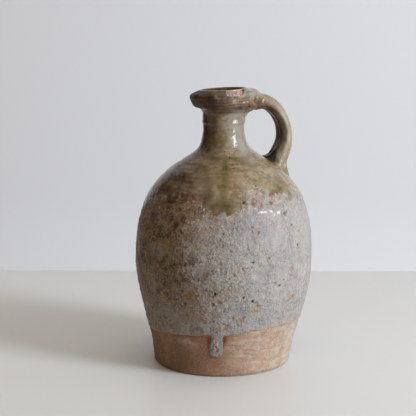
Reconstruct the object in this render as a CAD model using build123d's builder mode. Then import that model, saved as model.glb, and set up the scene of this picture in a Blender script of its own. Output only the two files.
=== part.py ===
# A wheel-thrown stoneware jug with one strap handle: a flat-based ovoid body, a narrow
# neck, a thick flared collar, a pulled strap luted to the collar and the shoulder, and
# two coats of glaze. Millimetres, +Z up, origin at the middle of the resting face,
# handle towards +X.
import math
import os

from build123d import *

os.makedirs("parts", exist_ok=True)

# ---------------------------------------------------------------- driving dimensions
HEIGHT = 250.0  # resting face to the crest of the lip
FOOT_R = 63.0  # bare clay foot
BELLY_R = 80.1  # clay at the widest point; the coat brings it to 80.8
GLAZE_T = 0.7  # thickness of a coat
GLAZE_LINE_Z = 38.0  # where the lower coat stops above the foot
COAT_JOINT_Z = 150.0  # where the upper coat meets the lower one
NECK_JOINT_Z = 190.0  # where the thrown neck is set on the shoulder
COLLAR_JOINT_Z = 231.0  # where the collar is set on the neck
FLOOR_T = 9.0  # thickness of the floor
FLOOR_R = 53.0  # radius of the floor disc inside the wall
MOUTH_R = 12.5  # straight bore through neck and collar, a stopper's seat
MOUTH_BOTTOM_Z = 202.0
MOUTH_TOP_Z = 238.0
COLLAR_R = 29.3  # clay at the collar's widest
LIP_R = 20.4  # crest of the lip

STRAP_T = 12.0  # strap section, thickness and width
STRAP_W = 26.0
STRAP_ROUTE = [
    (20.0, 243.2),
    (33.0, 241.2),
    (44.5, 236.2),
    (53.0, 229.6),
    (58.6, 220.5),
    (61.2, 207.5),
    (59.8, 194.0),
    (56.0, 184.0),
    (50.4, 172.0),
]

# the wads that lute the strap are flares: an oval on the pot, a smaller one up the strap
UPPER_LUTE_BIG, UPPER_LUTE_SMALL = (17.0, 8.6), (13.4, 6.4)  # half width, half height
LOWER_LUTE_BIG, LOWER_LUTE_SMALL = (19.0, 12.0), (13.4, 6.4)
UPPER_LUTE_FROM, UPPER_LUTE_TO = 0.035, 0.20  # along the strap's path, 0 at the collar
LOWER_LUTE_FROM, LOWER_LUTE_TO = 0.985, 0.855

RUN_AZIMUTH = -121.0  # a run of glaze down over the bare foot, degrees from +X
RUN_W, RUN_T = 9.0, 2.2
RUN_TOP_Z, RUN_BOTTOM_Z = 62.0, 20.0

# ------------------------------------------------- outside of the clay, as (radius, z)
FOOT = [(FOOT_R, 0.0), (64.2, 12.0), (66.5, 24.0), (70.0, GLAZE_LINE_Z)]
BELLY = [
    (70.0, GLAZE_LINE_Z),
    (74.5, 56.0),
    (78.5, 76.0),
    (BELLY_R, 98.0),
    (79.4, 118.0),
    (76.2, 134.0),
    (71.3, COAT_JOINT_Z),
]
SHOULDER = [
    (71.3, COAT_JOINT_Z),
    (65.9, 160.0),
    (57.9, 170.0),
    (46.7, 180.0),
    (31.9, NECK_JOINT_Z),
]
NECK = [(31.9, NECK_JOINT_Z), (22.6, 197.0), (18.9, 206.0), (17.7, 218.0), (17.9, COLLAR_JOINT_Z)]
COLLAR = [
    (17.9, COLLAR_JOINT_Z),
    (21.0, 234.6),
    (25.8, 236.2),
    (28.6, 241.5),
    (COLLAR_R, 245.6),
    (27.6, 246.6),
    (LIP_R, HEIGHT - GLAZE_T),
]
FUNNEL = [(LIP_R, HEIGHT - GLAZE_T), (19.0, 248.2), (15.2, 242.4), (MOUTH_R, MOUTH_TOP_Z)]

# inside of the wall, from the floor up to the neck joint, and inside of the neck
INSIDE = [
    (FLOOR_R, FLOOR_T),
    (59.3, 24.0),
    (63.6, 38.0),
    (68.6, 56.0),
    (72.6, 76.0),
    (74.2, 98.0),
    (73.4, 118.0),
    (70.1, 134.0),
    (65.0, 150.0),
    (59.5, 160.0),
    (51.2, 170.0),
    (39.6, 180.0),
    (23.5, NECK_JOINT_Z),
]
INSIDE_NECK = [(23.5, NECK_JOINT_Z), (15.6, 196.0), (MOUTH_R, MOUTH_BOTTOM_Z)]


def tangent(points, i):
    """Direction of the profile at points[i], from its neighbours."""
    a, b = points[max(i - 1, 0)], points[min(i + 1, len(points) - 1)]
    n = math.hypot(b[0] - a[0], b[1] - a[1])
    return ((b[0] - a[0]) / n, (b[1] - a[1]) / n)


def raised(points, thickness, ends):
    """The same profile, moved out along its normals; ends are its two end directions."""
    out = []
    for i, (r, z) in enumerate(points):
        t = ends[0] if i == 0 else ends[1] if i == len(points) - 1 else tangent(points, i)
        out.append((r + t[1] * thickness, z - t[0] * thickness))
    return out


# directions where one stretch of the profile hands over to the next
AT_FOOT = tangent([FOOT[-2], FOOT[-1], BELLY[1]], 1)
AT_COAT_JOINT = tangent([BELLY[-2], BELLY[-1], SHOULDER[1]], 1)
AT_NECK_JOINT = tangent([SHOULDER[-2], SHOULDER[-1], NECK[1]], 1)
AT_COLLAR_JOINT = (0.05, 0.99875)
AT_FLOOR = (0.55, 0.835)
AT_NECK_JOINT_IN = tangent([INSIDE[-2], INSIDE[-1], INSIDE_NECK[1]], 1)

COAT_BELLY = raised(BELLY, GLAZE_T, (AT_FOOT, AT_COAT_JOINT))
COAT_BELLY[0] = (BELLY[0][0] + 0.4, GLAZE_LINE_Z)
COAT_SHOULDER = raised(SHOULDER, GLAZE_T, (AT_COAT_JOINT, AT_NECK_JOINT))
COAT_NECK = raised(NECK, GLAZE_T, (AT_NECK_JOINT, AT_COLLAR_JOINT))
COAT_COLLAR = [
    COAT_NECK[-1],
    (21.3, 233.9),
    (26.3, 235.6),
    (29.3, 241.3),
    (COLLAR_R + GLAZE_T, 245.9),
    (28.0, 247.2),
    (LIP_R, HEIGHT),
]
COAT_FUNNEL = [(LIP_R, HEIGHT), (18.5, 248.7), (14.7, 242.9)]

# the half-plane the thrown profiles are drawn in; its seam stays clear of handle and run
SEAM = math.radians(104.0)
MERIDIAN = Plane(
    origin=(0, 0, 0),
    x_dir=(math.cos(SEAM), math.sin(SEAM), 0),
    z_dir=(math.sin(SEAM), -math.cos(SEAM), 0),
)

# -------------------------------------------------------------------- thrown pieces
with BuildPart() as base_disc:
    with BuildSketch():
        Circle(FLOOR_R)
    extrude(amount=FLOOR_T)
base_disc.part.label = "base_disc"

with BuildPart() as body_wall:
    with BuildSketch(MERIDIAN):
        with BuildLine():
            Line((FLOOR_R, 0), (FOOT_R - 1.2, 0))
            Line((FOOT_R - 1.2, 0), (FOOT_R + 0.1, 1.3))
            Spline((FOOT_R + 0.1, 1.3), *FOOT[1:], tangents=[(0.06, 0.998), AT_FOOT])
            Spline(*BELLY, tangents=[AT_FOOT, AT_COAT_JOINT])
            Spline(*SHOULDER, tangents=[AT_COAT_JOINT, AT_NECK_JOINT])
            Line(SHOULDER[-1], INSIDE[-1])
            Spline(*INSIDE, tangents=[AT_FLOOR, AT_NECK_JOINT_IN])
            Line(INSIDE[0], (FLOOR_R, 0))
        make_face()
    revolve(axis=Axis.Z)
body_wall.part.label = "body_wall"

with BuildPart() as neck:
    with BuildSketch(MERIDIAN):
        with BuildLine():
            Spline(*NECK, tangents=[AT_NECK_JOINT, AT_COLLAR_JOINT])
            Line(NECK[-1], (MOUTH_R, COLLAR_JOINT_Z))
            Line((MOUTH_R, COLLAR_JOINT_Z), (MOUTH_R, MOUTH_BOTTOM_Z))
            Spline(*INSIDE_NECK, tangents=[AT_NECK_JOINT_IN, (0, 1)])
            Line(INSIDE_NECK[0], NECK[0])
        make_face()
    revolve(axis=Axis.Z)
neck.part.label = "neck"

with BuildPart() as rim_collar:
    with BuildSketch(MERIDIAN):
        with BuildLine():
            Polyline(*COLLAR)
            Polyline(*FUNNEL)
            Line(FUNNEL[-1], (MOUTH_R, COLLAR_JOINT_Z))
            Line((MOUTH_R, COLLAR_JOINT_Z), COLLAR[0])
        make_face()
    revolve(axis=Axis.Z)
rim_collar.part.label = "rim_collar"

# the outside of everything thrown, without the hollow: what is luted on is cut to sit on it
with BuildPart() as blank:
    with BuildSketch(MERIDIAN):
        with BuildLine():
            Line((0, 0), (FOOT_R - 1.2, 0))
            Line((FOOT_R - 1.2, 0), (FOOT_R + 0.1, 1.3))
            Spline((FOOT_R + 0.1, 1.3), *FOOT[1:], tangents=[(0.06, 0.998), AT_FOOT])
            Spline(*BELLY, tangents=[AT_FOOT, AT_COAT_JOINT])
            Spline(*SHOULDER, tangents=[AT_COAT_JOINT, AT_NECK_JOINT])
            Spline(*NECK, tangents=[AT_NECK_JOINT, AT_COLLAR_JOINT])
            Polyline(*COLLAR)
            Polyline(*FUNNEL)
            Line(FUNNEL[-1], (0, MOUTH_TOP_Z))
            Line((0, MOUTH_TOP_Z), (0, 0))
        make_face()
    revolve(axis=Axis.Z)

# ------------------------------------- the pulled strap and the two wads, before cutting
with BuildPart() as strap_stock:
    with BuildLine(Plane.XZ) as route:
        Spline(*STRAP_ROUTE, tangents=[(0.995, -0.1), (-0.42, -0.907)])
    with BuildSketch(Plane(origin=route.line @ 0, x_dir=(0, 1, 0), z_dir=route.line % 0)):
        Ellipse(STRAP_W / 2, STRAP_T / 2)
    sweep()

path = route.edges()[0]


def across(u, drop=0.0):
    """A plane square to the strap's path at u, moved drop mm towards the foot."""
    return Plane(origin=path @ u - Vector(0, 0, drop), x_dir=(0, 1, 0), z_dir=path % u)


with BuildPart() as upper_wad:
    with BuildSketch(across(UPPER_LUTE_FROM, 3.4)):
        Ellipse(*UPPER_LUTE_BIG)
    with BuildSketch(across(UPPER_LUTE_TO)):
        Ellipse(*UPPER_LUTE_SMALL)
    loft()

with BuildPart() as lower_wad:
    with BuildSketch(across(LOWER_LUTE_FROM)):
        Ellipse(*LOWER_LUTE_BIG)
    with BuildSketch(across(LOWER_LUTE_TO)):
        Ellipse(*LOWER_LUTE_SMALL)
    loft()

# --------------------------------------- the strap on the pot, and the wads that lute it
with BuildPart() as strap_handle:
    add(strap_stock.part)
    add(blank.part, mode=Mode.SUBTRACT)
strap_handle.part.label = "strap_handle"

with BuildPart() as upper_handle_lute:
    add(upper_wad.part)
    add(blank.part, mode=Mode.SUBTRACT)
    add(strap_stock.part, mode=Mode.SUBTRACT)
upper_handle_lute.part.label = "upper_handle_lute"

with BuildPart() as lower_handle_lute:
    add(lower_wad.part)
    add(blank.part, mode=Mode.SUBTRACT)
    add(strap_stock.part, mode=Mode.SUBTRACT)
lower_handle_lute.part.label = "lower_handle_lute"

# ------------------------------------------------------------------------- the coats
# the run's plane lies along the wall at its azimuth, facing out
run_a = math.radians(RUN_AZIMUTH)
out_dir = Vector(math.cos(run_a), math.sin(run_a), 0)
run_low = out_dir * 65.6 + Vector(0, 0, RUN_BOTTOM_Z)
run_high = out_dir * 75.9 + Vector(0, 0, RUN_TOP_Z)
run_up = (run_high - run_low).normalized()
run_side = Vector(-math.sin(run_a), math.cos(run_a), 0)
run_plane = Plane(origin=(run_low + run_high) / 2, x_dir=run_side, z_dir=run_side.cross(run_up))
run_half = (run_high - run_low).length / 2

with BuildPart() as lower_glaze_coat:
    with BuildSketch(run_plane.offset(-2.0)):
        with BuildLine():
            l1 = Line((-RUN_W * 0.34, run_half), (-RUN_W / 2, RUN_W / 2 - run_half))
            l2 = Line((RUN_W * 0.34, run_half), (RUN_W / 2, RUN_W / 2 - run_half))
            ThreePointArc(l1 @ 1, (0, -run_half), l2 @ 1)
            ThreePointArc(l1 @ 0, (0, run_half + RUN_W * 0.34), l2 @ 0)
        make_face()
    extrude(amount=2.0 + RUN_T)
    fillet(lower_glaze_coat.faces().sort_by(Axis((0, 0, 0), tuple(out_dir)))[-1].edges(), RUN_T * 0.6)
    with BuildSketch(MERIDIAN):
        with BuildLine():
            Spline(*BELLY, tangents=[AT_FOOT, AT_COAT_JOINT])
            Line(BELLY[-1], COAT_BELLY[-1])
            Spline(*COAT_BELLY, tangents=[AT_FOOT, AT_COAT_JOINT])
            Line(COAT_BELLY[0], BELLY[0])
        make_face()
    revolve(axis=Axis.Z)
    add(blank.part, mode=Mode.SUBTRACT)
lower_glaze_coat.part.label = "lower_glaze_coat"

with BuildPart() as upper_glaze_coat:
    with BuildSketch(MERIDIAN):
        with BuildLine():
            Spline(*SHOULDER, tangents=[AT_COAT_JOINT, AT_NECK_JOINT])
            Spline(*NECK, tangents=[AT_NECK_JOINT, AT_COLLAR_JOINT])
            Polyline(*COLLAR)
            Polyline(*FUNNEL[:-1])
            Line(FUNNEL[-2], COAT_FUNNEL[-1])
            Polyline(*COAT_FUNNEL)
            Polyline(*COAT_COLLAR)
            Spline(*COAT_NECK, tangents=[AT_NECK_JOINT, AT_COLLAR_JOINT])
            Spline(*COAT_SHOULDER, tangents=[AT_COAT_JOINT, AT_NECK_JOINT])
            Line(COAT_SHOULDER[0], SHOULDER[0])
        make_face()
    revolve(axis=Axis.Z)
    add(strap_stock.part, mode=Mode.SUBTRACT)
    add(upper_wad.part, mode=Mode.SUBTRACT)
    add(lower_wad.part, mode=Mode.SUBTRACT)
upper_glaze_coat.part.label = "upper_glaze_coat"

# -------------------------------------------------------------------------- written out
export_step(base_disc.part, "parts/base_disc.step")
export_step(body_wall.part, "parts/body_wall.step")
export_step(neck.part, "parts/neck.step")
export_step(rim_collar.part, "parts/rim_collar.step")
export_step(strap_handle.part, "parts/strap_handle.step")
export_step(upper_handle_lute.part, "parts/upper_handle_lute.step")
export_step(lower_handle_lute.part, "parts/lower_handle_lute.step")
export_step(lower_glaze_coat.part, "parts/lower_glaze_coat.step")
export_step(upper_glaze_coat.part, "parts/upper_glaze_coat.step")
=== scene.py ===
import math

import bpy
import numpy as np
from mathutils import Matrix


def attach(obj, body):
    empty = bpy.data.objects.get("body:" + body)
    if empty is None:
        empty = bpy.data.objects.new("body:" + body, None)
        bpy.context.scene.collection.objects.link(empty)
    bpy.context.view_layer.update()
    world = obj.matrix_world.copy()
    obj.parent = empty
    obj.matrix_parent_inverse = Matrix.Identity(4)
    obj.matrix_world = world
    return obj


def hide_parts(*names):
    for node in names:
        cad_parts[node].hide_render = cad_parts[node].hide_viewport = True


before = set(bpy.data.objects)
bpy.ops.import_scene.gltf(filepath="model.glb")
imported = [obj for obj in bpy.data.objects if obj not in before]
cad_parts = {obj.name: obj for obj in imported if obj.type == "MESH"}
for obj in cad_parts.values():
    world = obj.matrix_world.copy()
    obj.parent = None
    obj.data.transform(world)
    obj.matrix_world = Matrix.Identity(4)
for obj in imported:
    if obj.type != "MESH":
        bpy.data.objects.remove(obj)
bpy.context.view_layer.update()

# Everything below is worked out in millimetres in the row frame and written out in metres.
# Polar angles are in degrees from +X, where the handle is; the photograph's side is at -114.
FRONT = -114.0
VIEW_AZ = math.radians(-24.0)
RIGHT = np.array([math.cos(VIEW_AZ), math.sin(VIEW_AZ)])


# ---------------------------------------------------------------------------- noise
_rng = np.random.RandomState(41)
_PERM = _rng.permutation(256)
_GRAD = _rng.normal(size=(256, 3))
_GRAD /= np.linalg.norm(_GRAD, axis=1)[:, None]
_JIT = _rng.uniform(0.1, 0.9, size=(256, 3))
_RND = _rng.uniform(size=(256, 4))


def gnoise(p, seed=0):
    """Gradient noise, about -1 to 1, at points of shape (..., 3)."""
    shape = p.shape[:-1]
    p = p.reshape(-1, 3) + np.array([17.3, 5.1, 9.7]) * (seed + 1)
    i = np.floor(p).astype(np.int64)
    f = p - i
    u = f * f * f * (f * (f * 6 - 15) + 10)
    out = np.zeros(len(p))
    for a in (0, 1):
        wa = u[:, 0] if a else 1 - u[:, 0]
        ha = _PERM[(i[:, 0] + a) & 255]
        for b in (0, 1):
            wb = wa * (u[:, 1] if b else 1 - u[:, 1])
            hb = _PERM[(ha + i[:, 1] + b) & 255]
            for c in (0, 1):
                w = wb * (u[:, 2] if c else 1 - u[:, 2])
                g = _GRAD[_PERM[(hb + i[:, 2] + c) & 255]]
                out += w * (g[:, 0] * (f[:, 0] - a) + g[:, 1] * (f[:, 1] - b) + g[:, 2] * (f[:, 2] - c))
    return (out * 1.7).reshape(shape)


def fbm(p, size, octaves=3, seed=0, gain=0.5):
    """Layered noise whose largest features are about size mm across."""
    out, amp = 0.0, 1.0
    for k in range(octaves):
        out = out + amp * gnoise(p * (2.0**k / size), seed + 7 * k)
        amp *= gain
    return out


def cells(p, size, seed=0):
    """Distance in mm to the nearest scattered point, and that point's row of random numbers."""
    shape = p.shape[:-1]
    q = p.reshape(-1, 3) / size + 3.7 * (seed + 1)
    i = np.floor(q).astype(np.int64)
    best = np.full(len(q), 9.0)
    who = np.zeros(len(q), dtype=np.int64)
    for a in (-1, 0, 1):
        for b in (-1, 0, 1):
            for c in (-1, 0, 1):
                n = i + np.array([a, b, c])
                h = _PERM[(_PERM[(_PERM[(n[:, 0] + seed * 11) & 255] + n[:, 1]) & 255] + n[:, 2]) & 255]
                d = np.linalg.norm(q - n - _JIT[h], axis=1)
                near = d < best
                best[near] = d[near]
                who[near] = h[near]
    return (best * size).reshape(shape), _RND[who].reshape(shape + (4,))


def ramp(x, a, b):
    """Smooth step from 0 at a to 1 at b."""
    t = np.clip((x - a) / (b - a), 0.0, 1.0)
    return t * t * (3 - 2 * t)


def angle_gap(theta, at):
    """theta - at in degrees, wrapped to -180 to 180."""
    return (theta - at + 180.0) % 360.0 - 180.0


def ring_interp(theta, table):
    """A closed piecewise-smooth function of the polar angle; table is (angle, value)."""
    t = np.array([a for a, _ in table], dtype=float)
    v = np.array([b for _, b in table], dtype=float)
    t = np.concatenate([t - 360, t, t + 360])
    v = np.tile(v, 3)
    q = (theta + 360.0) % 360.0 - 360.0
    k = np.clip(np.searchsorted(t, q) - 1, 0, len(t) - 2)
    x = (q - t[k]) / (t[k + 1] - t[k])
    x = x * x * (3 - 2 * x)
    return v[k] * (1 - x) + v[k + 1] * x


# ------------------------------------------------- the pot's outside, as (radius, height)
PROFILE = [
    (61.2, 0.0), (62.0, 0.3), (62.6, 1.0), (63.05, 2.8), (63.4, 6.0), (64.25, 12.0), (65.25, 18.0), (66.65, 24.0),
    (68.3, 30.0), (69.9, 36.0), (71.55, 42.0), (73.1, 48.0), (74.6, 54.0), (76.0, 60.0), (77.35, 66.0), (78.55, 72.0),
    (79.5, 78.0), (80.25, 84.0), (80.65, 90.0), (80.8, 96.0), (80.75, 102.0), (80.6, 108.0), (80.3, 114.0),
    (79.75, 120.0), (78.85, 126.0), (77.6, 132.0), (76.0, 138.0), (74.2, 144.0), (71.95, 150.0), (69.0, 156.0),
    (65.1, 162.0), (60.4, 168.0), (54.6, 174.0), (47.3, 180.0), (38.2, 186.0), (29.0, 192.0), (22.6, 198.0),
    (20.1, 204.0), (18.85, 210.0), (18.4, 216.0), (18.35, 222.0), (18.4, 226.5), (19.0, 230.0), (20.6, 232.6),
    (23.4, 234.0), (25.9, 235.2), (27.6, 237.6), (28.8, 240.4), (29.6, 242.8), (29.75, 244.6), (28.9, 246.2),
    (27.1, 247.35), (24.6, 248.35), (22.2, 249.3), (20.9, 249.75), (19.9, 249.7), (19.0, 248.9), (17.6, 246.8),
    (16.0, 244.4), (14.6, 242.3), (13.3, 240.0), (12.6, 238.0), (12.5, 236.0),
]  # fmt: skip


def spline(points, step):
    """Natural cubic spline through points, resampled every step mm of its length."""
    p = np.array(points, dtype=float)
    t = np.concatenate([[0], np.cumsum(np.linalg.norm(np.diff(p, axis=0), axis=1))])
    n, h = len(t), np.diff(t)
    m = np.eye(n)
    rhs = np.zeros_like(p)
    for k in range(1, n - 1):
        m[k, k - 1 : k + 2] = h[k - 1], 2 * (h[k - 1] + h[k]), h[k]
        rhs[k] = 6 * ((p[k + 1] - p[k]) / h[k] - (p[k] - p[k - 1]) / h[k - 1])
    c = np.linalg.solve(m, rhs)
    q = np.linspace(0, t[-1], int(t[-1] * 40))
    k = np.clip(np.searchsorted(t, q) - 1, 0, n - 2)
    a, b, hk = (t[k + 1] - q)[:, None], (q - t[k])[:, None], h[k][:, None]
    d = (c[k] * a**3 + c[k + 1] * b**3) / (6 * hk) + (p[k] / hk - c[k] * hk / 6) * a + (p[k + 1] / hk - c[k + 1] * hk / 6) * b
    s = np.concatenate([[0], np.cumsum(np.linalg.norm(np.diff(d, axis=0), axis=1))])
    u = np.linspace(0, s[-1], int(round(s[-1] / step)) + 1)
    return u, np.stack([np.interp(u, s, d[:, j]) for j in range(p.shape[1])], axis=1)


PS, PRZ = spline(PROFILE, 0.1)
PT = np.gradient(PRZ, PS, axis=0)
PT /= np.linalg.norm(PT, axis=1)[:, None]
PN = np.stack([PT[:, 1], -PT[:, 0]], axis=1)
CREST = int(np.argmax(PRZ[:, 1]))


def s_at(z):
    """Arc length along the outside at height z, below the crest of the lip."""
    return np.interp(z, PRZ[: CREST + 1, 1], PS[: CREST + 1])


S_END = PS[-1]
S_CREST = PS[CREST]


def outside(s):
    """Radius, height and outward normal of the outside at arc length s."""
    return (np.interp(s, PS, PRZ[:, 0]), np.interp(s, PS, PRZ[:, 1]), np.interp(s, PS, PN[:, 0]), np.interp(s, PS, PN[:, 1]))


def place(r, z, theta):
    a = np.radians(theta)
    return np.stack([r * np.cos(a), r * np.sin(a), z + 0 * a], axis=-1)


LEAN_Z = [0, 20, 53, 95, 158, 182, 195, 205, 215, 226, 250]
LEAN_D = [-0.6, 0.2, 1.0, 0.8, 1.6, 2.0, 1.6, 0.8, 0.7, 0.1, 0.0]


def settle(p):
    """The firing's lean and warp, the same for every piece: ideal place to real place."""
    p = np.array(p, dtype=float)
    r = np.hypot(p[..., 0], p[..., 1])
    z = p[..., 2].copy()
    across = p[..., 0] * RIGHT[0] + p[..., 1] * RIGHT[1]
    push = np.interp(z, LEAN_Z, LEAN_D)
    p[..., 0] += push * RIGHT[0]
    p[..., 1] += push * RIGHT[1]
    q = np.stack([p[..., 0], p[..., 1], z * 0.8], axis=-1)
    swell = 0.35 * fbm(q, 70.0, 2, 3) * ramp(r, 15, 40) * ramp(z, 0, 25)
    k = 1 + swell / np.maximum(r, 1.0)
    p[..., 0] *= k
    p[..., 1] *= k
    p[..., 2] += 0.052 * across * ramp(z, 226, 243) * (1 - ramp(r, 27, 44))
    return p


# ------------------------------------------------------------------ marks on the surface
# (polar angle, height, half-width, half-height, tilt, depth, kind): pits, burst bubbles, iron spots and bare flecks
SPOTS = [
    (-109.7, 117.1, 1.4, 1.1, -35, 0.9, "rust"), (-99.0, 121.8, 0.7, 0.9, 0, 0.6, "rust"), (-99.0, 119.2, 0.8, 1.0, 0, 0.7, "rust"),
    (-92.2, 118.0, 1.3, 0.8, -20, 0.3, "peach"), (-95.5, 107.0, 1.0, 0.9, 0, 0.9, "dark"), (-85.7, 109.1, 1.2, 1.0, 0, 0.5, "ochre"),
    (-86.9, 107.5, 3.2, 2.6, 0, 0.4, "rim"), (-60.3, 116.6, 1.5, 0.8, 0, 0.8, "dark"), (-66.1, 96.6, 1.6, 2.3, 80, 0.3, "ochre"),
    (-73.4, 87.9, 1.0, 0.7, 0, 0.6, "dark"), (-76.5, 84.0, 1.1, 0.9, 0, 0.7, "dark"), (-71.5, 82.9, 1.5, 0.9, 20, 0.5, "ochre"),
    (-79.8, 87.0, 0.9, 1.4, 0, 0.2, "ochre"), (-62.8, 70.3, 2.0, 2.5, -12, 0.4, "ochre"), (-95.4, 72.1, 1.5, 1.3, -30, 1.3, "dark"),
    (-92.9, 70.9, 1.2, 1.2, 0, 0.6, "rust"), (-92.1, 65.7, 2.3, 2.5, -20, 0.7, "ochre"), (-93.7, 63.1, 1.4, 1.0, 0, 0.3, "ochre"),
    (-101.5, 76.2, 1.0, 0.9, 0, 0.7, "dark"), (-101.0, 57.1, 1.1, 1.3, 40, 1.1, "dark"), (-102.1, 54.4, 1.7, 1.5, -30, 0.6, "ochre"),
    (-105.0, 57.3, 0.9, 1.0, 0, 0.2, "peach"), (-107.5, 57.7, 1.0, 1.5, 0, 0.3, "rust"), (-112.6, 49.3, 2.2, 2.3, 0, 0.6, "ochre"),
    (-112.5, 98.7, 1.1, 1.2, 0, 0.6, "rust"), (-116.3, 71.8, 2.0, 1.4, -20, 0.6, "rust"), (-120.6, 70.2, 1.5, 1.5, 0, 0.6, "rust"),
    (-118.7, 67.5, 4.1, 2.9, 0, 0.3, "rim"), (-119.2, 79.9, 0.8, 2.0, 12, 1.0, "dark"), (-139.3, 68.8, 1.0, 1.1, 0, 0.8, "dark"),
    (-129.5, 55.5, 2.1, 2.2, -30, 0.6, "ochre"), (-126.9, 53.3, 1.6, 1.5, -35, 0.9, "rust"), (-160.0, 76.3, 2.7, 1.2, -40, 0.8, "dark"),
    (-157.0, 73.5, 3.2, 1.8, -35, 0.4, "ochre"), (-173.1, 89.5, 2.6, 2.8, 10, 0.5, "ochre"), (-172.2, 91.6, 1.3, 1.4, 10, 0.5, "dark"),
    (-177.1, 105.8, 1.4, 2.5, 5, 0.8, "dark"), (-182.1, 47.6, 2.3, 1.6, -30, 1.0, "dark"), (-149.1, 64.3, 1.5, 1.1, 0, 0.5, "rust"),
    (-139.8, 80.5, 1.1, 0.9, 0, 0.5, "dark"), (-155.2, 104.7, 2.6, 2.0, 0, 0.9, "dark"), (-152.5, 98.2, 1.4, 1.4, 0, 0.5, "dark"),
    (-153.4, 92.3, 1.2, 0.9, 0, 0.4, "dark"), (-153.3, 85.5, 1.2, 0.9, 0, 0.4, "dark"), (-161.2, 125.9, 2.3, 1.7, 30, 0.8, "dark"),
    (-165.3, 127.3, 1.5, 1.3, 0, 0.5, "dark"), (-138.3, 119.9, 2.1, 1.1, 0, 0.5, "rust"), (-115.6, 106.4, 1.1, 0.7, -20, 0.4, "rust"),
    (-115.9, 102.2, 1.3, 0.8, 0, 0.4, "rust"), (-151.3, 122.1, 1.3, 1.3, 0, 0.3, "ochre"), (-139.0, 144.0, 1.2, 1.5, -20, 0.4, "ochre"),
    (-129.5, 142.6, 0.7, 2.0, -18, 0.4, "ochre"), (-93.6, 156.1, 1.9, 1.8, 0, 0.4, "rust"), (-76.4, 161.8, 2.9, 1.5, -10, 0.4, "rust"),
    (-79.0, 155.3, 1.6, 1.4, 0, 0.4, "rust"), (-68.5, 145.6, 3.2, 1.6, 15, 0.5, "rust"), (-82.7, 164.9, 1.0, 1.0, 0, 0.3, "rust"),
    (-99.4, 156.7, 3.9, 0.9, -25, 0.8, "rust"), (-100.5, 157.3, 1.7, 0.5, -25, 0.9, "dark"), (-95.6, 136.7, 1.3, 1.0, 10, 0.3, "rust"),
    (-91.6, 137.7, 1.1, 0.9, 0, 0.2, "peach"), (-91.7, 131.6, 0.9, 1.4, 0, 0.6, "rust"), (-80.0, 134.4, 1.5, 1.9, -15, 0.3, "peach"),
    (-64.1, 134.8, 1.5, 0.7, -20, 0.9, "dark"), (-57.5, 128.3, 1.6, 0.9, 0, 0.3, "ochre"), (-138.4, 159.8, 3.7, 1.2, -25, 0.8, "rust"),
    (-136.5, 158.8, 1.9, 0.7, -25, 0.9, "dark"), (-119.0, 147.1, 1.0, 2.1, 5, 0.3, "rust"), (-119.5, 143.5, 1.0, 1.0, 0, 0.3, "rust"),
    (-105.8, 191.2, 0.7, 1.0, 0, 0.4, "dark"), (-114.2, 196.2, 0.5, 0.6, 0, 0.4, "dark"), (-71.0, 179.3, 1.3, 0.9, -20, 0.3, "rust"),
    (-120.8, 32.2, 0.6, 2.0, 15, 0.4, "rust"), (-118.0, 26.0, 0.7, 0.8, 0, 0.5, "dark"), (-118.9, 29.9, 0.6, 1.0, 0, 0.4, "dark"),
    (-117.5, 36.8, 0.6, 0.7, 0, 0.3, "dark"), (-120.6, 54.0, 0.8, 0.9, 0, 0.6, "dark"), (-118.4, 44.1, 0.6, 0.7, 0, 0.4, "dark"),
    (-125.6, 9.0, 0.7, 0.7, 0, 0.3, "rim"), (-174.0, 117.4, 1.4, 1.8, 8, 0.5, "dark"), (-146.4, 149.0, 1.6, 1.0, 20, 0.5, "dark"),
    (-147.6, 136.3, 1.6, 1.7, 30, 0.6, "dark"), (-152.5, 140.7, 1.7, 1.3, 0, 0.5, "dark"), (-143.3, 132.6, 1.7, 1.0, -30, 0.5, "dark"),
    (-154.8, 157.9, 2.2, 1.1, 20, 0.5, "dark"), (-128.1, 108.6, 0.9, 0.9, 0, 0.4, "dark"), (-130.2, 109.3, 0.9, 1.1, 0, 0.4, "dark"),
    (-134.5, 107.6, 0.9, 0.9, 0, 0.4, "rust"), (-137.8, 104.1, 1.1, 1.3, -40, 0.5, "dark"), (-144.2, 88.1, 1.5, 1.4, 0, 0.5, "dark"),
    (-141.3, 95.7, 1.2, 1.8, 20, 0.5, "dark"), (-129.3, 91.9, 0.8, 1.0, 0, 0.4, "dark"), (-122.5, 115.9, 0.8, 0.9, 0, 0.4, "rust"),
    (-127.1, 92.8, 0.6, 0.6, 0, 0.3, "rim"), (-108.1, 125.3, 2.2, 1.7, 0, 0.2, "rim"), (-121.2, 100.0, 0.8, 0.7, 0, 0.4, "dark"),
    (-99.8, 114.3, 0.8, 0.6, 0, 0.4, "rust"), (-100.1, 95.5, 1.0, 0.9, 0, 0.4, "peach"), (-106.0, 106.4, 0.8, 0.9, 0, 0.3, "ochre"),
]  # fmt: skip

_scatter = np.random.RandomState(7)
for _ in range(90):
    _size = _scatter.uniform(0.6, 1.7)
    SPOTS.append((
        _scatter.uniform(-20, 205),
        _scatter.uniform(46, 150),
        _size,
        _size * _scatter.uniform(0.5, 1.0),
        _scatter.uniform(-60, 60),
        _scatter.uniform(0.3, 0.8),
        ("dark", "rust", "ochre", "peach", "rust")[_scatter.randint(5)],
    ))
for _ in range(60):
    _size = _scatter.uniform(0.45, 0.8)
    SPOTS.append((
        _scatter.uniform(-205, -20),
        _scatter.uniform(46, 146),
        _size,
        _size * _scatter.uniform(0.5, 1.0),
        _scatter.uniform(-60, 60),
        _scatter.uniform(0.2, 0.4),
        ("rust", "rust", "ochre", "dark")[_scatter.randint(4)],
    ))

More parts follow.
